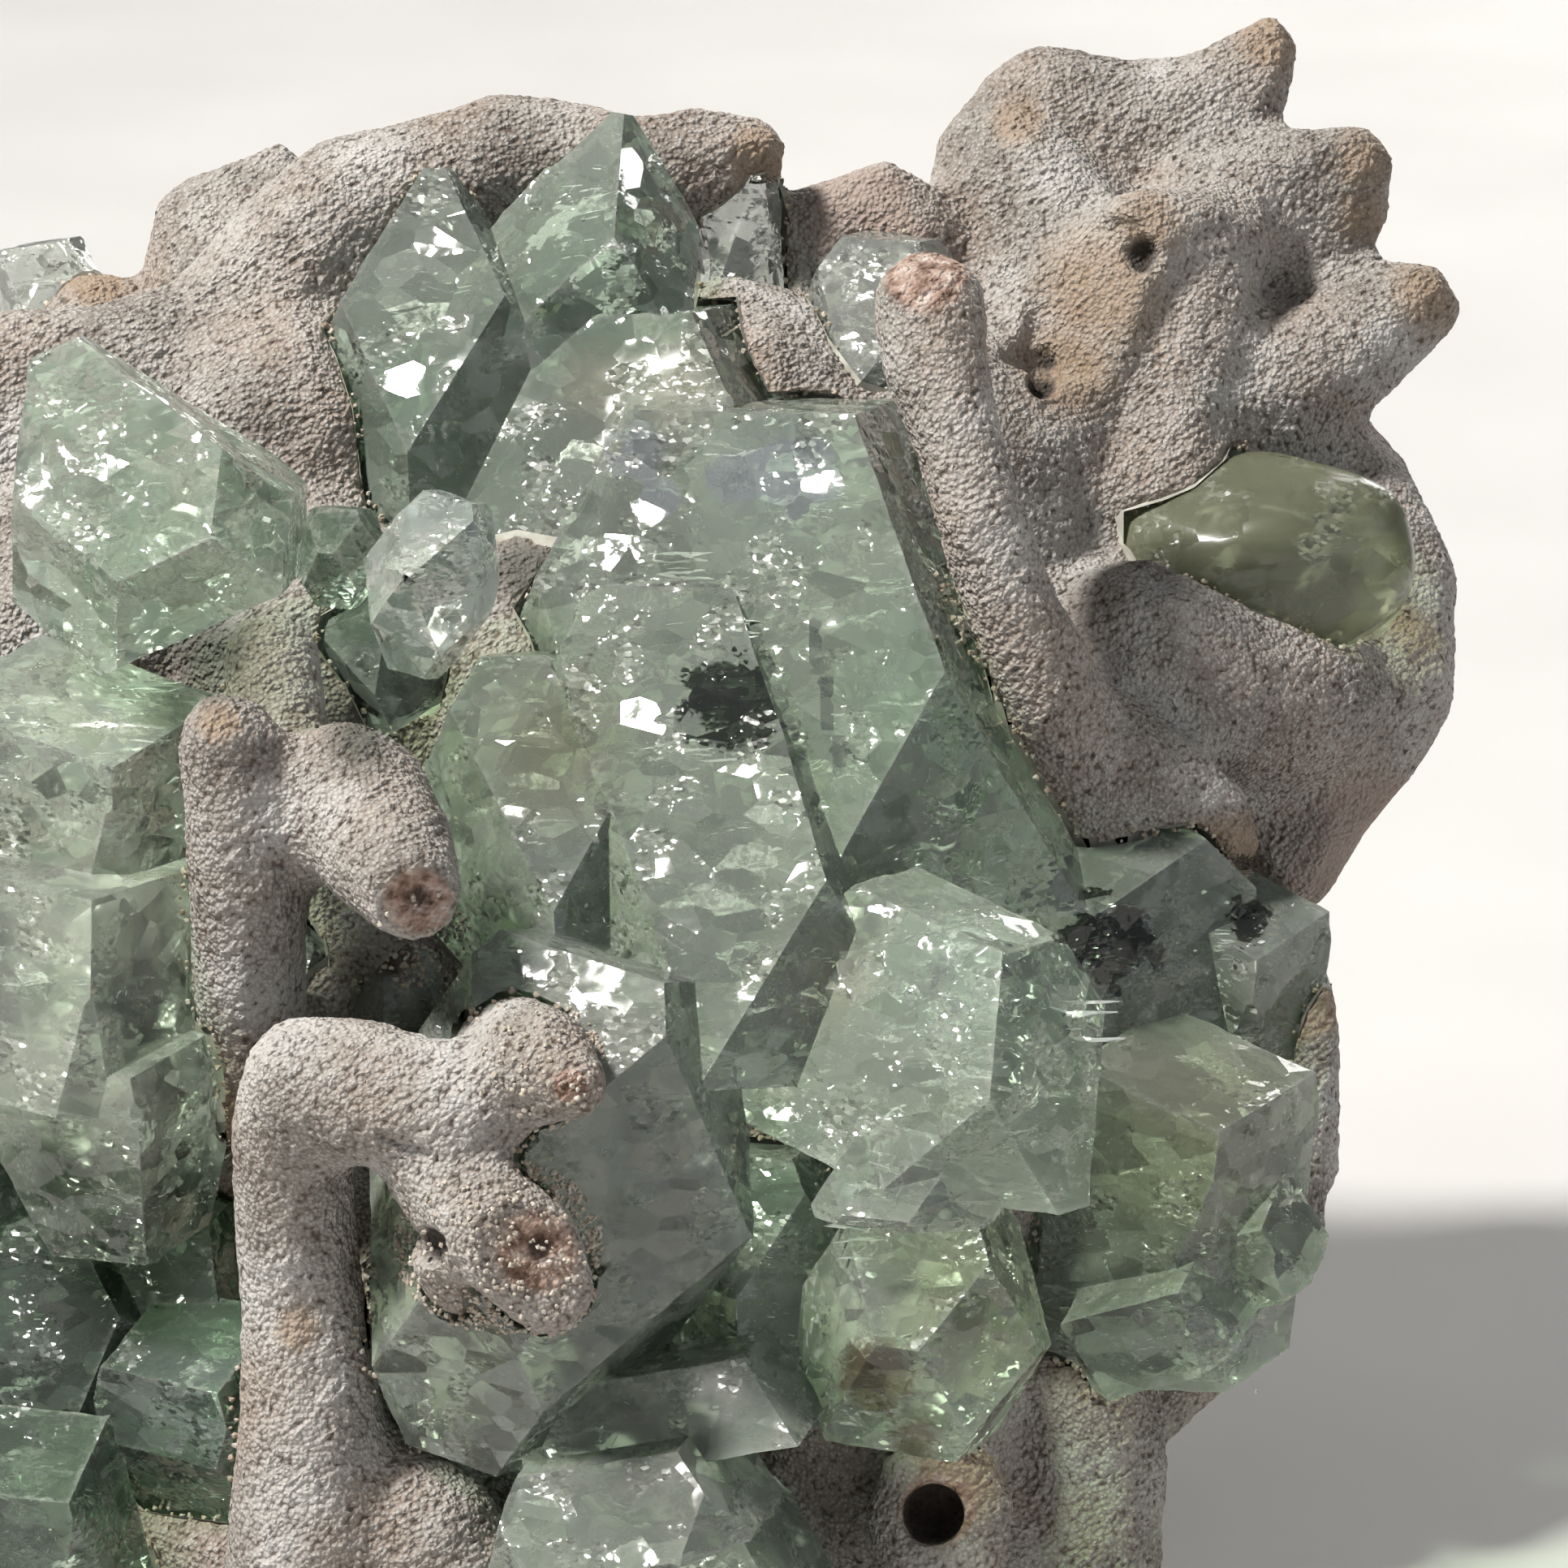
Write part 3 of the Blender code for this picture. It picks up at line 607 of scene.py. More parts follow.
corners = numpy.empty(len(crust.data.loops), int)
crust.data.loops.foreach_get("vertex_index", corners)
quads = corners.reshape(-1, 4)
quads = quads[~hidden[quads].all(axis=1)]
quad_x = skin_places[quads, 0].mean(axis=1)
grain_tops = points_of(crust.data)[0]
limits = numpy.quantile(quad_x, numpy.linspace(0.0, 1.0, CRUST_PIECES + 1))
for number in range(CRUST_PIECES):
    last = number == CRUST_PIECES - 1
    chosen = quads[(quad_x >= limits[number]) & ((quad_x < limits[number + 1]) | last)]
    used, numbered = numpy.unique(chosen, return_inverse=True)
    part = table_piece("crust_" + str(number + 1), grain_tops[used], numbered.reshape(-1, 4))
    for name, values in marks.items():
        paint_mark(part.data, name, values[used])
    dress(part, crust_stone, "matrix_stone", "matrix")
    print(part.name, "triangles:", 2 * len(chosen))
bpy.data.objects.remove(crust, do_unlink=True)

# %% [markdown]
# ## The crystals' seats
# Behind the crystals and on the cut base the fine skin was left out. The plain faces of the solid
# stand there instead, a little deeper, so that nothing of them shows through the crust.

# %% Walls of the crystals' seats
BASE_HEIGHT = 0.1
WALL_DROP = 0.25
DROP_ABOVE = 0.5
walls_form = closed_form(solids["matrix"])
gone = []
for face in walls_form.faces:
    middle = face.calc_center_median()
    found = crystal_tree.find_nearest(middle, SEARCH_WITHIN * MM)
    near = found[0] is not None and found[3] < HIDDEN_WITHIN * MM
    if not near and middle.z > BASE_HEIGHT * MM:
        gone.append(face)
bmesh.ops.delete(walls_form, geom=gone, context="FACES")
for point in walls_form.verts:
    if point.co.z > DROP_ABOVE * MM:
        point.co -= point.normal * WALL_DROP * MM
walls = new_piece("crust_walls", walls_form)
print("wall faces:", len(walls.data.polygons))

# %% Seat material
paint = Paint("seat_stone")
tone = paint.ramp(paint.grain(1.6, 2.0), [(0.3, (0.27, 0.26, 0.215)), (0.7, (0.50, 0.50, 0.44))])
dress(walls, paint.finish(paint.surface(Base_Color=tone, Roughness=0.9)), "matrix_stone", "matrix")
print("seats dressed")

# %% [markdown]
# ## Crystals with growth steps
# A grown crystal is flat only at first sight. Its faces carry low steps and thin plates, and a
# paler band along its edges is a painted highlight. A sharp remesh cuts the clean solid into small
# even faces and keeps its edges. The points then move along their normals by a noise that is
# rounded to a few levels, which makes the steps. Colours differ from place to place: milky, olive,
# bluish or brown spots are listed and painted on the points, for the material to read. Some listed
# spots are painted light: shade, a violet sheen and dark reflections.

# %% Where the crystals differ
# Each spot: across, up and towards in millimetres, with None for any depth, and its reach
MILKY = [
    ((-9, -26, 24), 10), ((-44, -18, 18), 8), ((-13, -20, 22), 11), ((-7, -40, 20), 9),
    ((-8, 23.5, -4), 6), ((-42, -8, 18), 8), ((-18, 25, -6), 5),
]
OLIVE = [
    ((25, -22, 6), 11), ((-18, -28, 20), 8), ((12, -32, 17), 8), ((-14, 2, 8), 7), ((18, 14, -14), 5),
]
# Deeper, darker green: a deeper body colour, and painted shade where a gap between crystals lies in
# shadow
DEEP_GREEN_AND_SHADE = [((-12, 30, -6), 9), ((10, 4, 4), 11), ((-38, 12, 14), 9), ((-22, 22, -4), 9), ((0, -25, 14), 6)]
BLUISH = [((12, -12, 18), 9), ((-20, 16, 10), 6), ((0, 18, 2), 7), ((-34, -38, 14), 8), ((-27, 8, 12), 8)]
BROWN = [
    ((18.2, 13.4, -12), 3.6), ((5.8, -36.4, 20), 4.0), ((8.2, -40.0, 17), 3.4), ((-24.6, -10.0, 14), 3.4),
]
# Painted shade: crystals that lie in shadow, mostly at the lower left, are darkened nearly to black
SHADED_CRYSTAL_SPOTS = [
    ((-41, -30, None), 7.5), ((-36, -26, None), 5.0), ((-44, -24, None), 5.0), ((-37.0, 5.0, None), 3.4),
]
# Painted sheen: blue-violet spots on a big face just below a crystal's top
VIOLET_SHEEN_SPOTS = [
    ((-8.6, 20.4, None), 3.0), ((-7.6, 17.6, None), 2.2), ((0.6, 19.0, None), 3.8),
    ((-3.2, 18.6, None), 2.6),
]
PEACH = [
    ((-11.6, 24.6, None), 3.2), ((-6.6, 24.8, None), 3.6), ((-2.2, 25.2, None), 3.0),
    ((2, -12, 16), 5),
]
print("brown spots:", len(BROWN))

# %% Painted dark reflections
# Where a crystal shows a painted dark reflection: the middle as seen, its size, and how many dark flakes
DARK_REFLECTION_PATCHES = [
    ((-3.7, 4.8), 3.6, 22), ((20.2, -9.8), 3.4, 26), ((28.6, -8.4), 2.0, 12),
]
DARK_REFLECTION_REACH = 1.25
DARK_REFLECTION_SPOTS = [((*middle, None), size * DARK_REFLECTION_REACH) for middle, size, count in DARK_REFLECTION_PATCHES]
TINTS = {"milky": MILKY, "olive": OLIVE, "deep": DEEP_GREEN_AND_SHADE, "bluish": BLUISH, "brown": BROWN,
         "violet_sheen": VIOLET_SHEEN_SPOTS, "peach": PEACH, "dark_reflection": DARK_REFLECTION_SPOTS, "dark": SHADED_CRYSTAL_SPOTS}
print("tinted spots:", sum(len(spots) for spots in TINTS.values()))


# %% Points along the edges
EDGE_ANGLE = math.radians(20.0)
EDGE_SPACING = 0.3


def edge_points(mesh, angle, spacing):
    """A search tree of points along the sharp edges of a solid, to measure how far an edge is."""
    form = closed_form(mesh)
    spots = []
    for edge in form.edges:
        if edge.is_manifold and edge.calc_face_angle() > angle:
            first, second = (vertex.co for vertex in edge.verts)
            count = max(1, round((second - first).length / spacing))
            spots += [first.lerp(second, k / count) for k in range(count + 1)]
    form.free()
    tree = KDTree(max(1, len(spots)))
    for index, spot in enumerate(spots):
        tree.insert(spot, index)
    tree.balance()
    return tree


print("an edge turns by at least", round(math.degrees(EDGE_ANGLE)), "degrees")

# %% [markdown]
# ## Plates on the big faces
# In the photograph thin plates lie on the largest faces, as if a sheet had been laid on them.
# Each plate is an outline in the front view. Points that look to the front and lie within it
# are lifted, fully at the plate's upper part and less and less towards its foot.

# %% Plates grown on the big faces
# Each: corners as seen from the front, and how far the plate stands out, in millimetres
PLATES = [
    ([(-9.6, 23.4), (3.0, 24.3), (7.6, 22.9), (13.0, 6.2), (9.7, -6.2), (-11.2, -6.2),
      (-13.7, 6.2)], 0.30),
    ([(-11.0, 11.8), (-3.1, 12.0), (1.7, 10.0), (5.0, -6.2), (-11.2, -6.2), (-13.7, 7.9)], 0.45),
    ([(-16.4, 31.0), (-9.2, 33.0), (-8.0, 27.6), (-12.6, 22.0)], 0.35),
    ([(3.6, -10.4), (13.2, -8.6), (15.6, -19.0), (8.0, -25.0), (1.2, -20.4)], 0.4),
    ([(15.4, -30.6), (24.6, -27.6), (24.0, -31.6), (17.0, -34.6)], 0.45),
    ([(-46.0, 22.0), (-36.4, 24.6), (-30.8, 14.0), (-40.0, 9.0)], 0.35),
]
PLATE_FADE = 9.0
TINY = 1e-9


def plate_height(places, normals):
    """How far the plates lift each point, for points that look to the front."""
    across, up, towards = seen(places)
    lifted = numpy.zeros(len(places))
    for corners, height in PLATES:
        within = numpy.zeros(len(places), bool)
        for (a, u), (b, v) in zip(corners, corners[1:] + corners[:1]):
            crosses = (u > up) != (v > up)
            within ^= crosses & (across < (b - a) * (up - u) / ((v - u) or TINY) + a)
        foot = min(corner[1] for corner in corners)
        lifted += within * height * numpy.clip((up - foot) / PLATE_FADE, 0.0, 1.0)
    front = normals @ numpy.array(seen_direction(0, 0, 1))
    return lifted * numpy.clip(front * 4.0 - 1.0, 0.0, 1.0)


print("plates:", len(PLATES))

# %% [markdown]
# ## Each crystal in three steps
# First the solid is cut into small faces. The crystal that is set in the right hand matrix is
# rounded in the photograph, so its copy is also smoothed, and lifted a little to keep its size.
# Then the steps and plates move the points. Last come the marks: the tints, how near an edge is,
# for a painted highlight along the edges, and a number for each direction of face, by which faces
# differ a little in brightness as painted shading.


# %% Small faces
CRYSTAL_CELL = 0.55
LEAST_DEPTH = 3
MOST_DEPTH = 8
CUT_SCALE = 0.95
SOFT_CRYSTALS = {"set_crystal": 45}


def cut_crystal(node):
    """A copy of a crystal cut into small even faces, and smoothed if it is a rounded one."""
    item = new_piece(node.replace("crystal", "clear_crystal"), closed_form(solids[node]))
    cut = item.modifiers.new("Cut", "REMESH")
    cut.mode = "SHARP"
    depth = round(math.log2(max(item.dimensions) / (CRYSTAL_CELL * MM)))
    cut.octree_depth = max(LEAST_DEPTH, min(MOST_DEPTH, depth))
    cut.scale = CUT_SCALE
    cut.use_remove_disconnected = False
    if node in SOFT_CRYSTALS:
        item.modifiers.new("Melt", "SMOOTH").iterations = SOFT_CRYSTALS[node]
    settle(item)
    return item


crystals = {node: cut_crystal(node) for node in crystal_nodes}
print("crystal faces:", {node: len(item.data.polygons) for node, item in crystals.items()})

# %% Steps
STEP_LEVELS = 3.0
STEP_DEPTH = 0.13
WAVE_DEPTH = 0.05
SOFT_SHARE = 0.5
SOFT_SWELL = 0.5


def growth(node, places, normals):
    """How far steps and plates move each point of a crystal along its normal, in millimetres."""
    level = numpy.round(soft_noise(places, 2.6, 11.0) * STEP_LEVELS) / STEP_LEVELS
    level = level * STEP_DEPTH + soft_noise(places, 0.9, 4.0) * WAVE_DEPTH
    if node in SOFT_CRYSTALS:
        level = level * SOFT_SHARE + SOFT_SWELL
    level += plate_height(places, normals)
    return level * numpy.clip(places[:, 2] / (BASE_EDGE * MM), 0.0, 1.0)


print("step depth:", STEP_DEPTH, "mm in", int(STEP_LEVELS), "levels")

# %% Marks on the crystals
EDGE_HIGHLIGHT_REACH = 0.65
FACET_SHADE_WAVES = numpy.array((5.3, 3.1, 7.7))
SHARP_ANGLE = math.radians(28.0)


def mark_crystal(node, item, places, normals):
    """Paint tints, edge nearness (a painted highlight) and facing (painted shade) on a crystal's points.
    """
    for name, spots in TINTS.items():
        paint_mark(item.data, name, nearness(places, spots))
    edges = edge_points(solids[node], EDGE_ANGLE, EDGE_SPACING * MM)
    to_edge = numpy.array([edges.find(Vector(place))[2] for place in places]) / MM
    paint_mark(item.data, "edge", numpy.clip(1.0 - to_edge / EDGE_HIGHLIGHT_REACH, 0.0, 1.0))
    # Painted shading: each direction of face gets a brightness of its own
    paint_mark(item.data, "facet_shade", 0.5 + 0.5 * numpy.sin(normals @ FACET_SHADE_WAVES))
    item.data.polygons.foreach_set("use_smooth", numpy.ones(len(item.data.polygons), bool))
    if node not in SOFT_CRYSTALS:
        item.data.set_sharp_from_angle(angle=SHARP_ANGLE)


for node, item in crystals.items():
    places, normals = points_of(item.data)
    move_points(item.data, places + normals * growth(node, places, normals)[:, None] * MM)
    mark_crystal(node, item, places, normals)
print("crystals with steps and marks:", len(crystals))

# %% [markdown]
# ## Clear green crystal
# The crystal is see-through with a slight milkiness. Transmission, IOR and absorption are plain
# numbers. Inside it is crazed with flat little breaks, each turned its own way. On the surface
# this is a cell noise in which every cell is a plane with a tilt of its own. Broad cells run
# through the whole crystal, fine ones only where it is crazed. For shadows the crystal is a thin
# tinted film, so that light reaches the crust behind it.


# %% Tilted cells
SQUEEZE = (1, 1, 1.8)


def shards(paint, size):
    """Flat cells: the height of each, a plane with its own tilt, and a number of its own."""
    def step(operation, first, second, output=0):
        settings = dict(operation=operation)
        return paint.node("ShaderNodeVectorMath", settings, {0: first, 1: second}, output)

    place = step("MULTIPLY", paint.place(), SQUEEZE)
    inputs = {"Vector": place, "Scale": 1.0 / (size * MM)}
    own = paint.node("ShaderNodeTexVoronoi", dict(feature="F1"), inputs, "Color")
    middle = Wire(paint, own.socket.node.outputs["Position"])
    tilt = step("SUBTRACT", own, (0.5, 0.5, 0.5))
    height = step("DOT_PRODUCT", tilt, step("SUBTRACT", place, middle), "Value")
    number = paint.node("ShaderNodeSeparateColor", None, {0: own}, 0)
    return height, number


print("fine and broad cells ready")

# %% Crystal material
CRYSTAL_IOR = 1.535
HEIGHT_IN_METRES = 1000.0
DEEP_SHARE = (0.58, 0.76, 0.64)
# Painted light among these: the edge colour is a painted highlight, the violet one a painted sheen, the
# dark one painted shade and the nearly black one a painted dark reflection
SPOT_COLOURS = {
    "bluish": (0.62, 0.73, 0.70), "peach": (0.80, 0.72, 0.60), "violet_sheen": (0.60, 0.62, 0.76),
    "edge": (0.88, 0.91, 0.86), "brown": (0.22, 0.14, 0.09), "dark": (0.07, 0.09, 0.065),
    "dark_reflection": (0.025, 0.03, 0.028),
}
SHADOW_FILM = (0.90, 0.94, 0.89, 1.0)


def crystal_paint(name, tint, milk, olive, depth_colour, depth, haze=0.0, clear=0.78, calm=1.0):
    """Clear crystal: surface tint, colours of its clouds and olive spots, and how light fades inside."""
    paint = Paint(name)
    clouds = paint.grain(3.6, 2.0, 0.6)
    wide_height, wide = shards(paint, 2.6)
    small_height, small = shards(paint, 0.42)
    crazed = clouds.above(0.575, 0.08)
    cloudy = (clouds + paint.mark("milky") * 0.25).above(0.62, 0.20)
    # Painted shading by face direction, with a random tone for each broad and fine cell
    shade = paint.mark("facet_shade") * 0.45 + wide * 0.35 + small * crazed * 0.30
    shade = shade * calm + (1.0 - calm) * 0.5
    colour = paint.blend(shade, tuple(c * 0.64 for c in tint), tuple(c * 1.08 for c in tint))
    colour = paint.blend(cloudy * 0.6, colour, milk)
    deep_tint = tuple(c * k for c, k in zip(tint, DEEP_SHARE))
    # Deeper green, partly painted shade in shadowed gaps
    colour = paint.blend(paint.mark("deep") * 0.6, colour, deep_tint)
    colour = paint.blend(paint.mark("olive") * 0.7, colour, olive)
    colour = paint.blend(paint.mark("bluish") * 0.5, colour, SPOT_COLOURS["bluish"])
    colour = paint.blend(paint.mark("peach") * (0.35 + small * 0.3), colour, SPOT_COLOURS["peach"])
    # Painted sheen, blue-violet
    violet_sheen = (paint.mark("violet_sheen") + wide * 0.5).above(0.75, 0.2)
    colour = paint.blend(violet_sheen * 0.55, colour, SPOT_COLOURS["violet_sheen"])
    # Painted highlight: a paler band along the crystal's edges
    edge = (paint.mark("edge") + small * 0.5).above(0.95, 0.35)
    colour = paint.blend(edge * 0.55, colour, SPOT_COLOURS["edge"])
    brown = (paint.mark("brown") + small * 0.3).above(0.7, 0.3)
    colour = paint.blend(brown * 0.85, colour, SPOT_COLOURS["brown"])
    # Painted shade on crystals that lie in shadow
    colour = paint.blend(paint.mark("dark") * 0.85, colour, SPOT_COLOURS["dark"])
    # Painted dark reflection: nearly black where the crystal is seen dark
    dark_reflection = (paint.mark("dark_reflection") * 0.9 + wide * 0.55 + small * 0.2 + clouds * 0.3).above(1.02, 0.06)
    colour = paint.blend(dark_reflection * 0.93, colour, SPOT_COLOURS["dark_reflection"])
    gloss = 0.05 + haze + cloudy * 0.20 + small.above(0.70, 0.05) * crazed * 0.20
    relief = paint.bump(wide_height * 0.34 * calm + small_height * crazed * 0.75, HEIGHT_IN_METRES)
    glass = paint.surface(Base_Color=colour, Roughness=gloss, IOR=CRYSTAL_IOR, Normal=relief,
                          Transmission_Weight=clear)
    absorption = paint.node("ShaderNodeVolumeAbsorption", None,
                            {"Color": (*depth_colour, 1.0), "Density": depth}, "Volume")
    shadow = paint.node("ShaderNodeLightPath", None, None, "Is Shadow Ray")
    film = paint.node("ShaderNodeBsdfTransparent", None, {"Color": SHADOW_FILM}, "BSDF")
    both = paint.node("ShaderNodeMixShader", None, {0: shadow, 1: glass, 2: film}, "Shader")
    return paint.finish(both, absorption)


print("crystal paint ready")

# %% Four kinds of crystal
CRYSTAL_SLOTS = {item["node"]: item["material_slot"] for item in frame["record"]["subparts"]}
OLIVE_TINT = (0.54, 0.55, 0.38)
paints = {
    "clear_green": crystal_paint("clear_green", (0.71, 0.785, 0.69), (0.84, 0.85, 0.77), OLIVE_TINT,
                                 (0.78, 0.85, 0.76), 40.0),
    # A darker copy of the clear green, for crystals that lie in shadow: painted shade
    "dark_green": crystal_paint("dark_green", (0.34, 0.42, 0.35), (0.50, 0.56, 0.48), OLIVE_TINT,
                                (0.58, 0.70, 0.58), 90.0),
    "clear_grey": crystal_paint("clear_grey", (0.78, 0.81, 0.76), (0.85, 0.85, 0.80), OLIVE_TINT,
                                (0.80, 0.86, 0.78), 35.0),
    "olive_green": crystal_paint("olive_green", (0.36, 0.38, 0.25), (0.50, 0.52, 0.41), OLIVE_TINT,
                                 (0.62, 0.65, 0.45), 60.0, 0.20, 0.66, 0.6),
}
for node, item in crystals.items():
    dress(item, paints[CRYSTAL_SLOTS[node]], CRYSTAL_SLOTS[node], node)
print("crystals dressed:", len(crystals))

# %% [markdown]
# ## Breaks inside the crystals
# Apophyllite splits easily across its long axis, and the photograph shows hundreds of such inner
# breaks as silvery films. A few nearly black flakes among them are a painted dark reflection. Each
# is a thin flake with a ragged rim. They lie in loose rows, and only inside the solids: a point is
# kept when the nearest surface faces away.

# %% Points inside a crystal
BREAK_SEED = 11
chance = random.Random(BREAK_SEED)


def any_way(spread):
    """A random arrow that points any way, its three parts spread by this much."""
    return Vector([chance.gauss(0.0, spread) for axis in range(3)])


def inside(tree, point, depth):
    """How deep a point lies in a closed piece, or nothing if it lies less deep than this."""
    place, normal, face, away = tree.find_nearest(point)
    if place is not None and (place - point).dot(normal) > 0.0 and away > depth * MM:
        return away
    return None


def seed_points(mesh, count, least, most):
    """Random points just below the surface, spread over the faces by their area."""
    faces = mesh.polygons
    areas = [face.area for face in faces]
    chosen = chance.choices(range(len(faces)), weights=areas, k=count)
    for index in chosen:
        face = faces[index]
        yield face.center - face.normal * chance.uniform(least, most) * MM


print("seed of the breaks:", BREAK_SEED)

# %% Flakes
SILVER, VEIL, DARK_REFLECTION_FLAKE = 0, 1, 2


def flake(form, middle, facing, radius, kind, slim=None):
    """One break, a thin ragged flake, longest side to side, slightly folded; a dark one is a painted
    reflection.
    """
    along = (Vector((1.0, 0.0, 0.0)) - facing * facing.x).normalized()
    turn = Matrix((along, facing.cross(along), facing)).transposed()
    sectors = chance.randint(5, 8)
    fold = chance.uniform(-0.25, 0.25)
    slim = slim or chance.choice((0.18, 0.3, 0.6))
    start = chance.uniform(0.0, math.tau)
    centre = form.verts.new(middle)
    rim = []
    for sector in range(sectors):
        angle = start + math.tau * sector / sectors
        reach = radius * chance.uniform(0.55, 1.25)
        spot = Vector((reach * math.cos(angle), reach * slim * math.sin(angle), 0.0))
        spot.z = fold * abs(spot.x)
        rim.append(form.verts.new(middle + turn @ spot))
    for first, second in zip(rim, rim[1:] + rim[:1]):
        face = form.faces.new((centre, first, second))
        face.material_index = kind


print("a flake is silver, a veil or dark:", (SILVER, VEIL, DARK_REFLECTION_FLAKE))

# %% Which way a break faces
ACROSS_LONG_AXIS = seen_direction(0.03, 1.0, 0.12)
TO_KEY = seen_direction(*LAMPS["key"]["place"]).normalized()
GLINT = (seen_direction(0, 0, 1).normalized() + TO_KEY).normalized()
FLAT_SHARE = 0.6
GLINT_SHARE = 0.08


def facing_of_break():
    """Mostly flat across the long axis, some turned so that they glint, some any way."""
    draw = chance.random()
    loose = any_way(1.0)
    if draw < FLAT_SHARE:
        return (ACROSS_LONG_AXIS + loose * 0.16).normalized()
    if draw < FLAT_SHARE + GLINT_SHARE:
        return (GLINT + loose * 0.35).normalized()
    return loose.normalized()


print("glinting breaks face:", GLINT)

# %% Rows of flakes and wide veils
ROWS_PER_AREA = 0.019
VEILS_PER_AREA = 0.02
FLAKE_SIZES = (0.09, 0.11, 0.14, 0.19, 0.30)
breaks_and_dark_flakes_form = bmesh.new()
for node in crystal_nodes:
    tree = tree_of(solids[node])
    area = sum(face.area for face in solids[node].polygons) / MM / MM
    for start in seed_points(solids[node], max(3, round(area * ROWS_PER_AREA)), 0.5, 4.5):
        facing = facing_of_break()
        spread = chance.uniform(0.9, 3.0) * MM
        for k in range(chance.randint(4, 22)):
            shift = any_way(1.0)
            shift -= facing * shift.dot(facing) * 0.8
            point = start + shift * spread * 0.6
            radius = chance.choice(FLAKE_SIZES) * chance.uniform(0.7, 1.3)
            away = inside(tree, point, 0.12)
            if away is None:
                continue
            turned = (facing + any_way(0.12)).normalized()
            flake(breaks_and_dark_flakes_form, point, turned, min(radius * MM, away), SILVER)
    for start in seed_points(solids[node], round(area * VEILS_PER_AREA), 1.0, 6.0):
        away = inside(tree, start, 0.8)
        if away is not None:
            radius = min(away * 0.9, chance.uniform(1.0, 2.4) * MM)
            flake(breaks_and_dark_flakes_form, start, facing_of_break(), radius, VEIL)
print("faces of silver flakes and veils:", len(breaks_and_dark_flakes_form.faces))


# %% Dark flakes as painted reflection
# Nearly black flakes, a painted dark reflection, just below the surface of a dark patch, turned to
# the eye, with small silver ones among them
def sight(tree, across, up):
    """Where the line of sight through a place of the front view meets a surface, and the line."""
    ray = (seen_place(across, up, 0.0) - EYE).normalized()
    return tree.ray_cast(EYE, ray)[0], ray


DARK_FLAKE_FACING = seen_direction(0, 0.25, 1.0)
for (across, up), size, count in DARK_REFLECTION_PATCHES:
    for k in range(count * 2):
        spot = (across + chance.gauss(0.0, size * 0.5), up + chance.gauss(0.0, size * 0.3))
        place, ray = sight(crystal_tree, *spot)
        if place is None:
            continue
        point = place + ray * chance.uniform(0.25, 0.6) * MM
        facing = (DARK_FLAKE_FACING + any_way(0.22)).normalized()
        kind = DARK_REFLECTION_FLAKE if k < count else SILVER
        radius = chance.uniform(0.25, 0.95) * MM * (1.0 if kind == DARK_REFLECTION_FLAKE else 0.3)
        flake(breaks_and_dark_flakes_form, point, facing, radius, kind)
print("faces with the dark mirrors:", len(breaks_and_dark_flakes_form.faces))

# %% Lines across the long axis
# Each: middle of a band of lines as seen, half its width, its height and the number of lines
LINE_SLIM = 0.12
LINE_FACING = seen_direction(0, 0.88, 0.45)
LINE_BANDS = [
    ((-6.4, 13.2), 2.8, 2.2, 9), ((-2.6, 9.4), 1.8, 1.4, 6), ((-5.0, 1.8), 2.4, 1.6, 6),
    ((27.0, -9.8), 1.4, 3.4, 8), ((18.6, -14.6), 3.4, 2.6, 8), ((-40.0, 4.0), 4.4, 6.0, 10),
    ((4.0, -28.0), 3.0, 3.0, 6), ((-12.0, 35.0), 2.0, 4.0, 6),
]
for (across, up), half, tall, count in LINE_BANDS:
    for k in range(count):
        line_up = up + chance.uniform(-0.5, 0.5) * tall
        middle = across + chance.gauss(0.0, 0.2) * half
        place, ray = sight(crystal_tree, middle, line_up)
        if place is not None:
            point = place + ray * chance.uniform(0.3, 0.5) * MM
            facing = (LINE_FACING + any_way(0.06)).normalized()
            radius = half * chance.uniform(0.25, 0.7) * MM
            flake(breaks_and_dark_flakes_form, point, facing, radius, SILVER, LINE_SLIM)
breaks_and_dark_flakes = new_piece("inner_breaks_and_dark_flakes", breaks_and_dark_flakes_form)
print("break triangles:", len(breaks_and_dark_flakes.data.polygons))

# %% [markdown]
# ## What the breaks look like
# A small break is a silvery film, rough enough to glint softly. A wide one is a milky veil with
# see-through streaks. A dark flake stands where the photograph shows a crystal dark: it is a
# painted dark reflection, nearly black and fairly smooth. The flake's kind picks one of the three
# materials.

# %% Silver, veil and painted dark reflection
paint = Paint("silvery_break")
film = paint.surface(Base_Color=(0.78, 0.82, 0.79, 1.0), Roughness=0.42, Metallic=0.8)
silver = paint.finish(film)
paint = Paint("milky_veil")
streaks = paint.grain(0.7, 2.0, 0.7)
veil = paint.finish(paint.surface(Base_Color=(0.86, 0.90, 0.84, 1.0), Roughness=0.3,
                                  Alpha=0.08 + streaks.above(0.52, 0.22) * 0.5))
# Painted dark reflection: nearly black and fairly smooth
paint = Paint("painted_dark_reflection")
dark = paint.finish(paint.surface(Base_Color=(0.02, 0.022, 0.024, 1.0), Roughness=0.25))
for material in (silver, veil, dark):
    breaks_and_dark_flakes.data.materials.append(material)
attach(breaks_and_dark_flakes, "root")
print("breaks dressed")

# %% [markdown]
# ## Loose grains
# Where crust and crystal meet, and in a halo round the broken stubs, single grains sit on the
# crystals. Each is a small lump with its points pushed about. They are placed by looking from the
# front and setting each where the line of sight meets a surface, or along the seam.

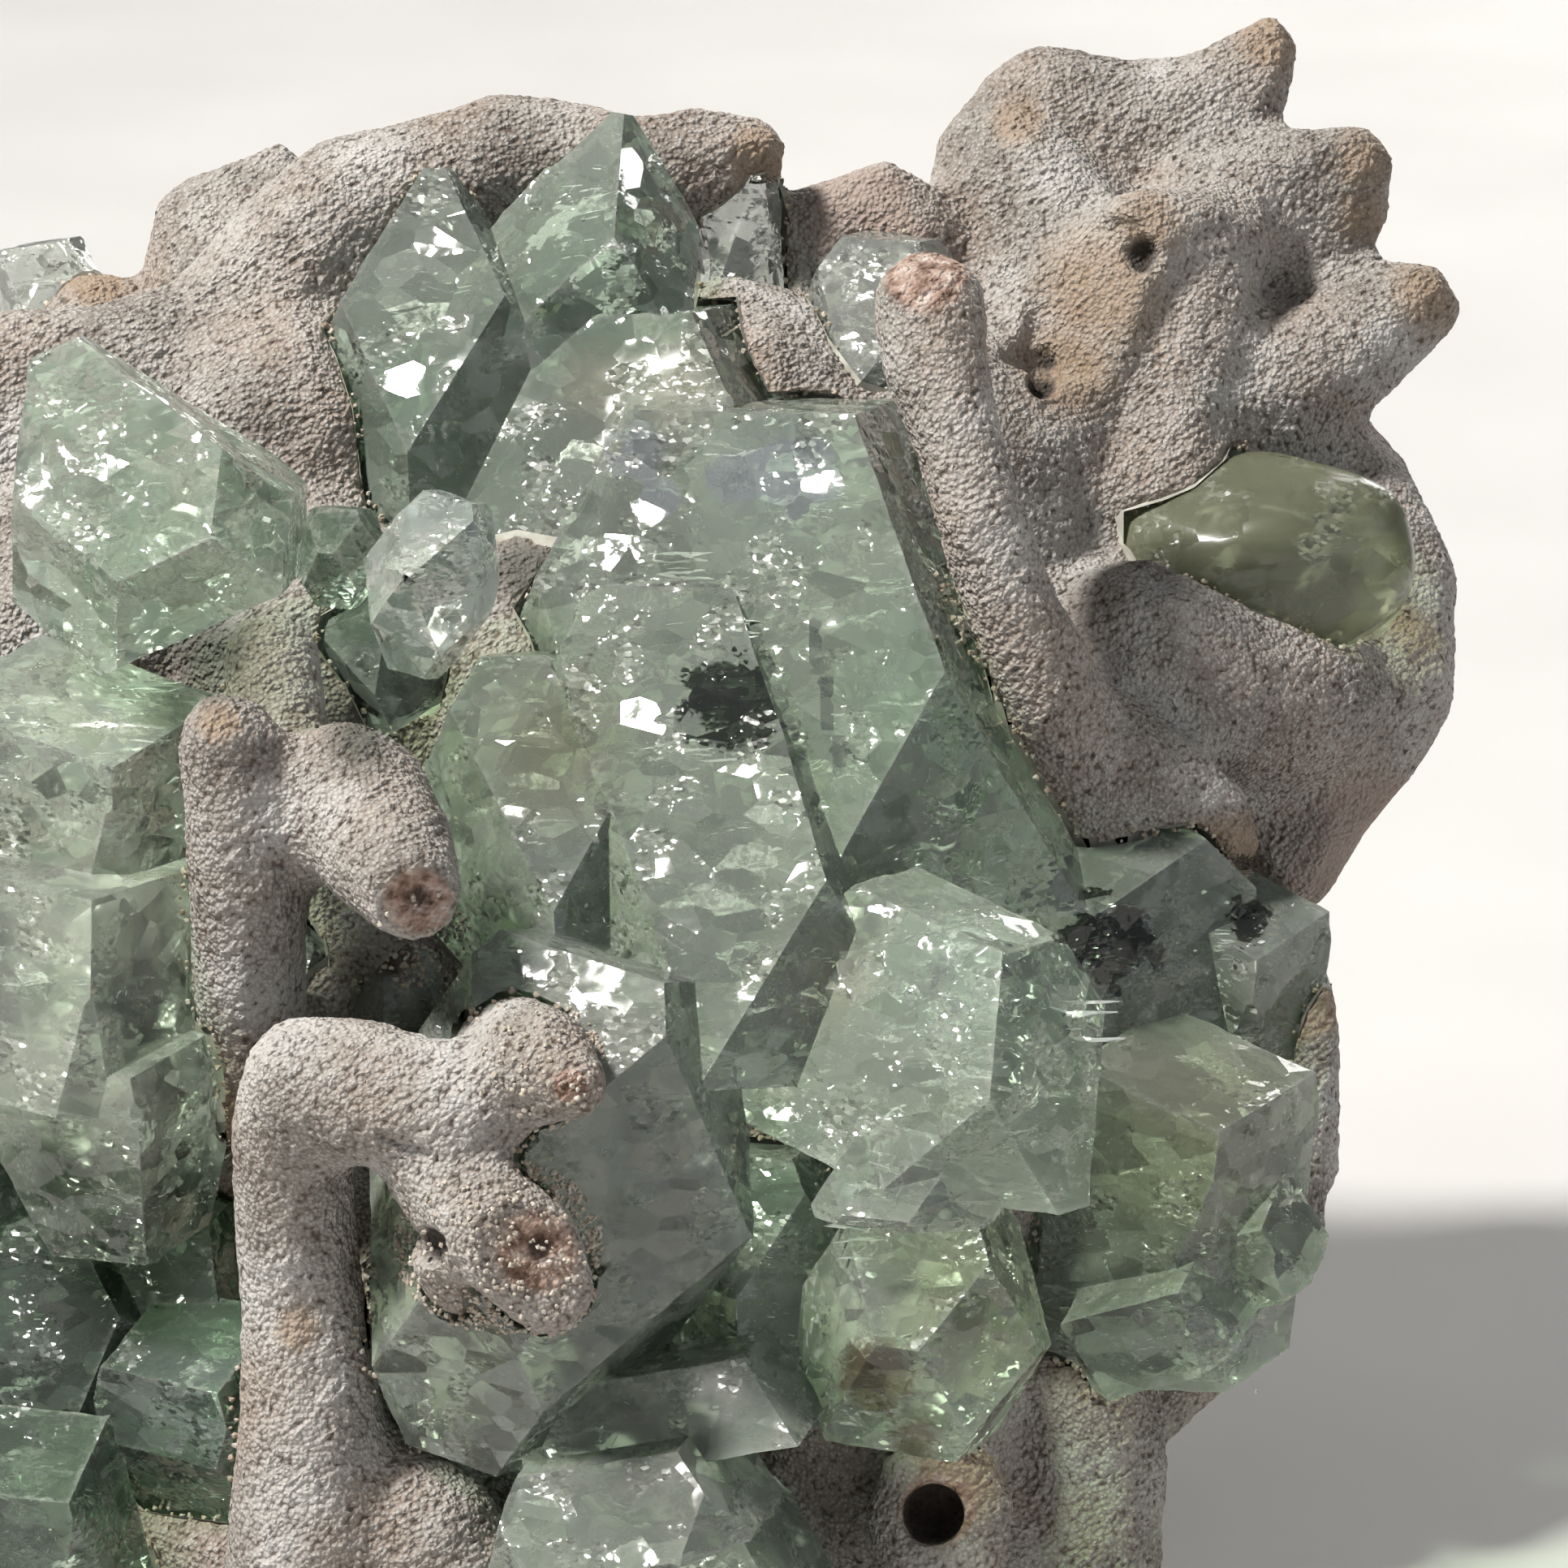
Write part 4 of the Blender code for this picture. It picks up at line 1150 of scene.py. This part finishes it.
# %% One grain
ball_form = bmesh.new()
bmesh.ops.create_icosphere(ball_form, subdivisions=1, radius=1.0)
BALL_POINTS = numpy.array([vertex.co[:] for vertex in ball_form.verts])
BALL_FACES = numpy.array([[vertex.index for vertex in face.verts] for face in ball_form.faces])
ball_form.free()
PUSH = 0.35
PALE, TAN = 0, 1
lumps = []


def lump(middle, radius, kind):
    """One grain: a tiny ball with its points pushed about."""
    push = numpy.array([chance.uniform(-PUSH, PUSH) for number in range(BALL_POINTS.size)])
    lumps.append((numpy.array(middle) + (BALL_POINTS + push.reshape(-1, 3)) * radius, kind))


print("points of a grain:", len(BALL_POINTS))

# %% Halos round the stubs
# Each: middle as seen, reach across and up, number of grains, share of tan ones
HALOS = [
    ((-17.6, -28.4), (6.4, 5.4), 1900, 0.4), ((-15.6, -17.4), (4.6, 4.2), 900, 0.3),
    ((-22.4, -9.6), (3.2, 3.0), 240, 0.6),
]
ON_SURFACE = 0.05
OFF_CRYSTAL_SHARE = 0.12
whole_tree = tree_of(*solids.values())
for (across, up), (wide, tall), count, tan_ones in HALOS:
    for k in range(count):
        spread = chance.random() ** 0.6
        angle = chance.uniform(0.0, math.tau)
        spot = (across + wide * spread * math.cos(angle), up + tall * spread * math.sin(angle))
        place = sight(whole_tree, *spot)[0]
        if place is None:
            continue
        on_crystal = crystal_tree.find_nearest(place)[3] < ON_SURFACE * MM
        if on_crystal or chance.random() < OFF_CRYSTAL_SHARE:
            kind = TAN if chance.random() < tan_ones * on_crystal else PALE
            lump(place, chance.uniform(0.09, 0.20) * MM, kind)
print("halo grains:", len(lumps))

# %% Grains along the seams
# From crust points that are seen and this near to a crystal, part or all of the way to it
SEAM_GRAINS = 2400
SEAM_REACH = 1.15
TAN_SHARE = 0.5
by_seam = (gap > HIDDEN_WITHIN) & (gap < SEAM_REACH) & ~hidden
seam = skin_places[by_seam].tolist()
for place in chance.sample(seam, min(SEAM_GRAINS, len(seam))):
    crust_point = Vector(place)
    crystal_point = crystal_tree.find_nearest(crust_point)[0]
    middle = crust_point.lerp(crystal_point, chance.uniform(0.3, 1.0))
    lump(middle, chance.uniform(0.10, 0.22) * MM, TAN if chance.random() < TAN_SHARE else PALE)
print("halo and seam grains:", len(lumps))

# %% All grains as one piece
grain_places = numpy.concatenate([points for points, kind in lumps])
grain_faces = numpy.concatenate([BALL_FACES + len(BALL_POINTS) * k for k in range(len(lumps))])
grains = table_piece("loose_grains", grain_places, grain_faces)
grain_kinds = numpy.repeat([kind for points, kind in lumps], len(BALL_FACES))
grains.data.polygons.foreach_set("material_index", grain_kinds.astype(numpy.int32))
print("grain triangles:", len(grains.data.polygons))

# %% Grain materials
for name, low_tone, high_tone in (("pale_grain", (0.42, 0.36, 0.29), (0.62, 0.57, 0.50)),
                                  ("tan_grain", (0.28, 0.22, 0.16), (0.54, 0.47, 0.38))):
    paint = Paint(name)
    tone = paint.ramp(paint.grain(0.5, 1.0), [(0.35, low_tone), (0.65, high_tone)])
    grains.data.materials.append(paint.finish(paint.surface(Base_Color=tone, Roughness=0.95)))
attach(grains, "root")
print("grains dressed")
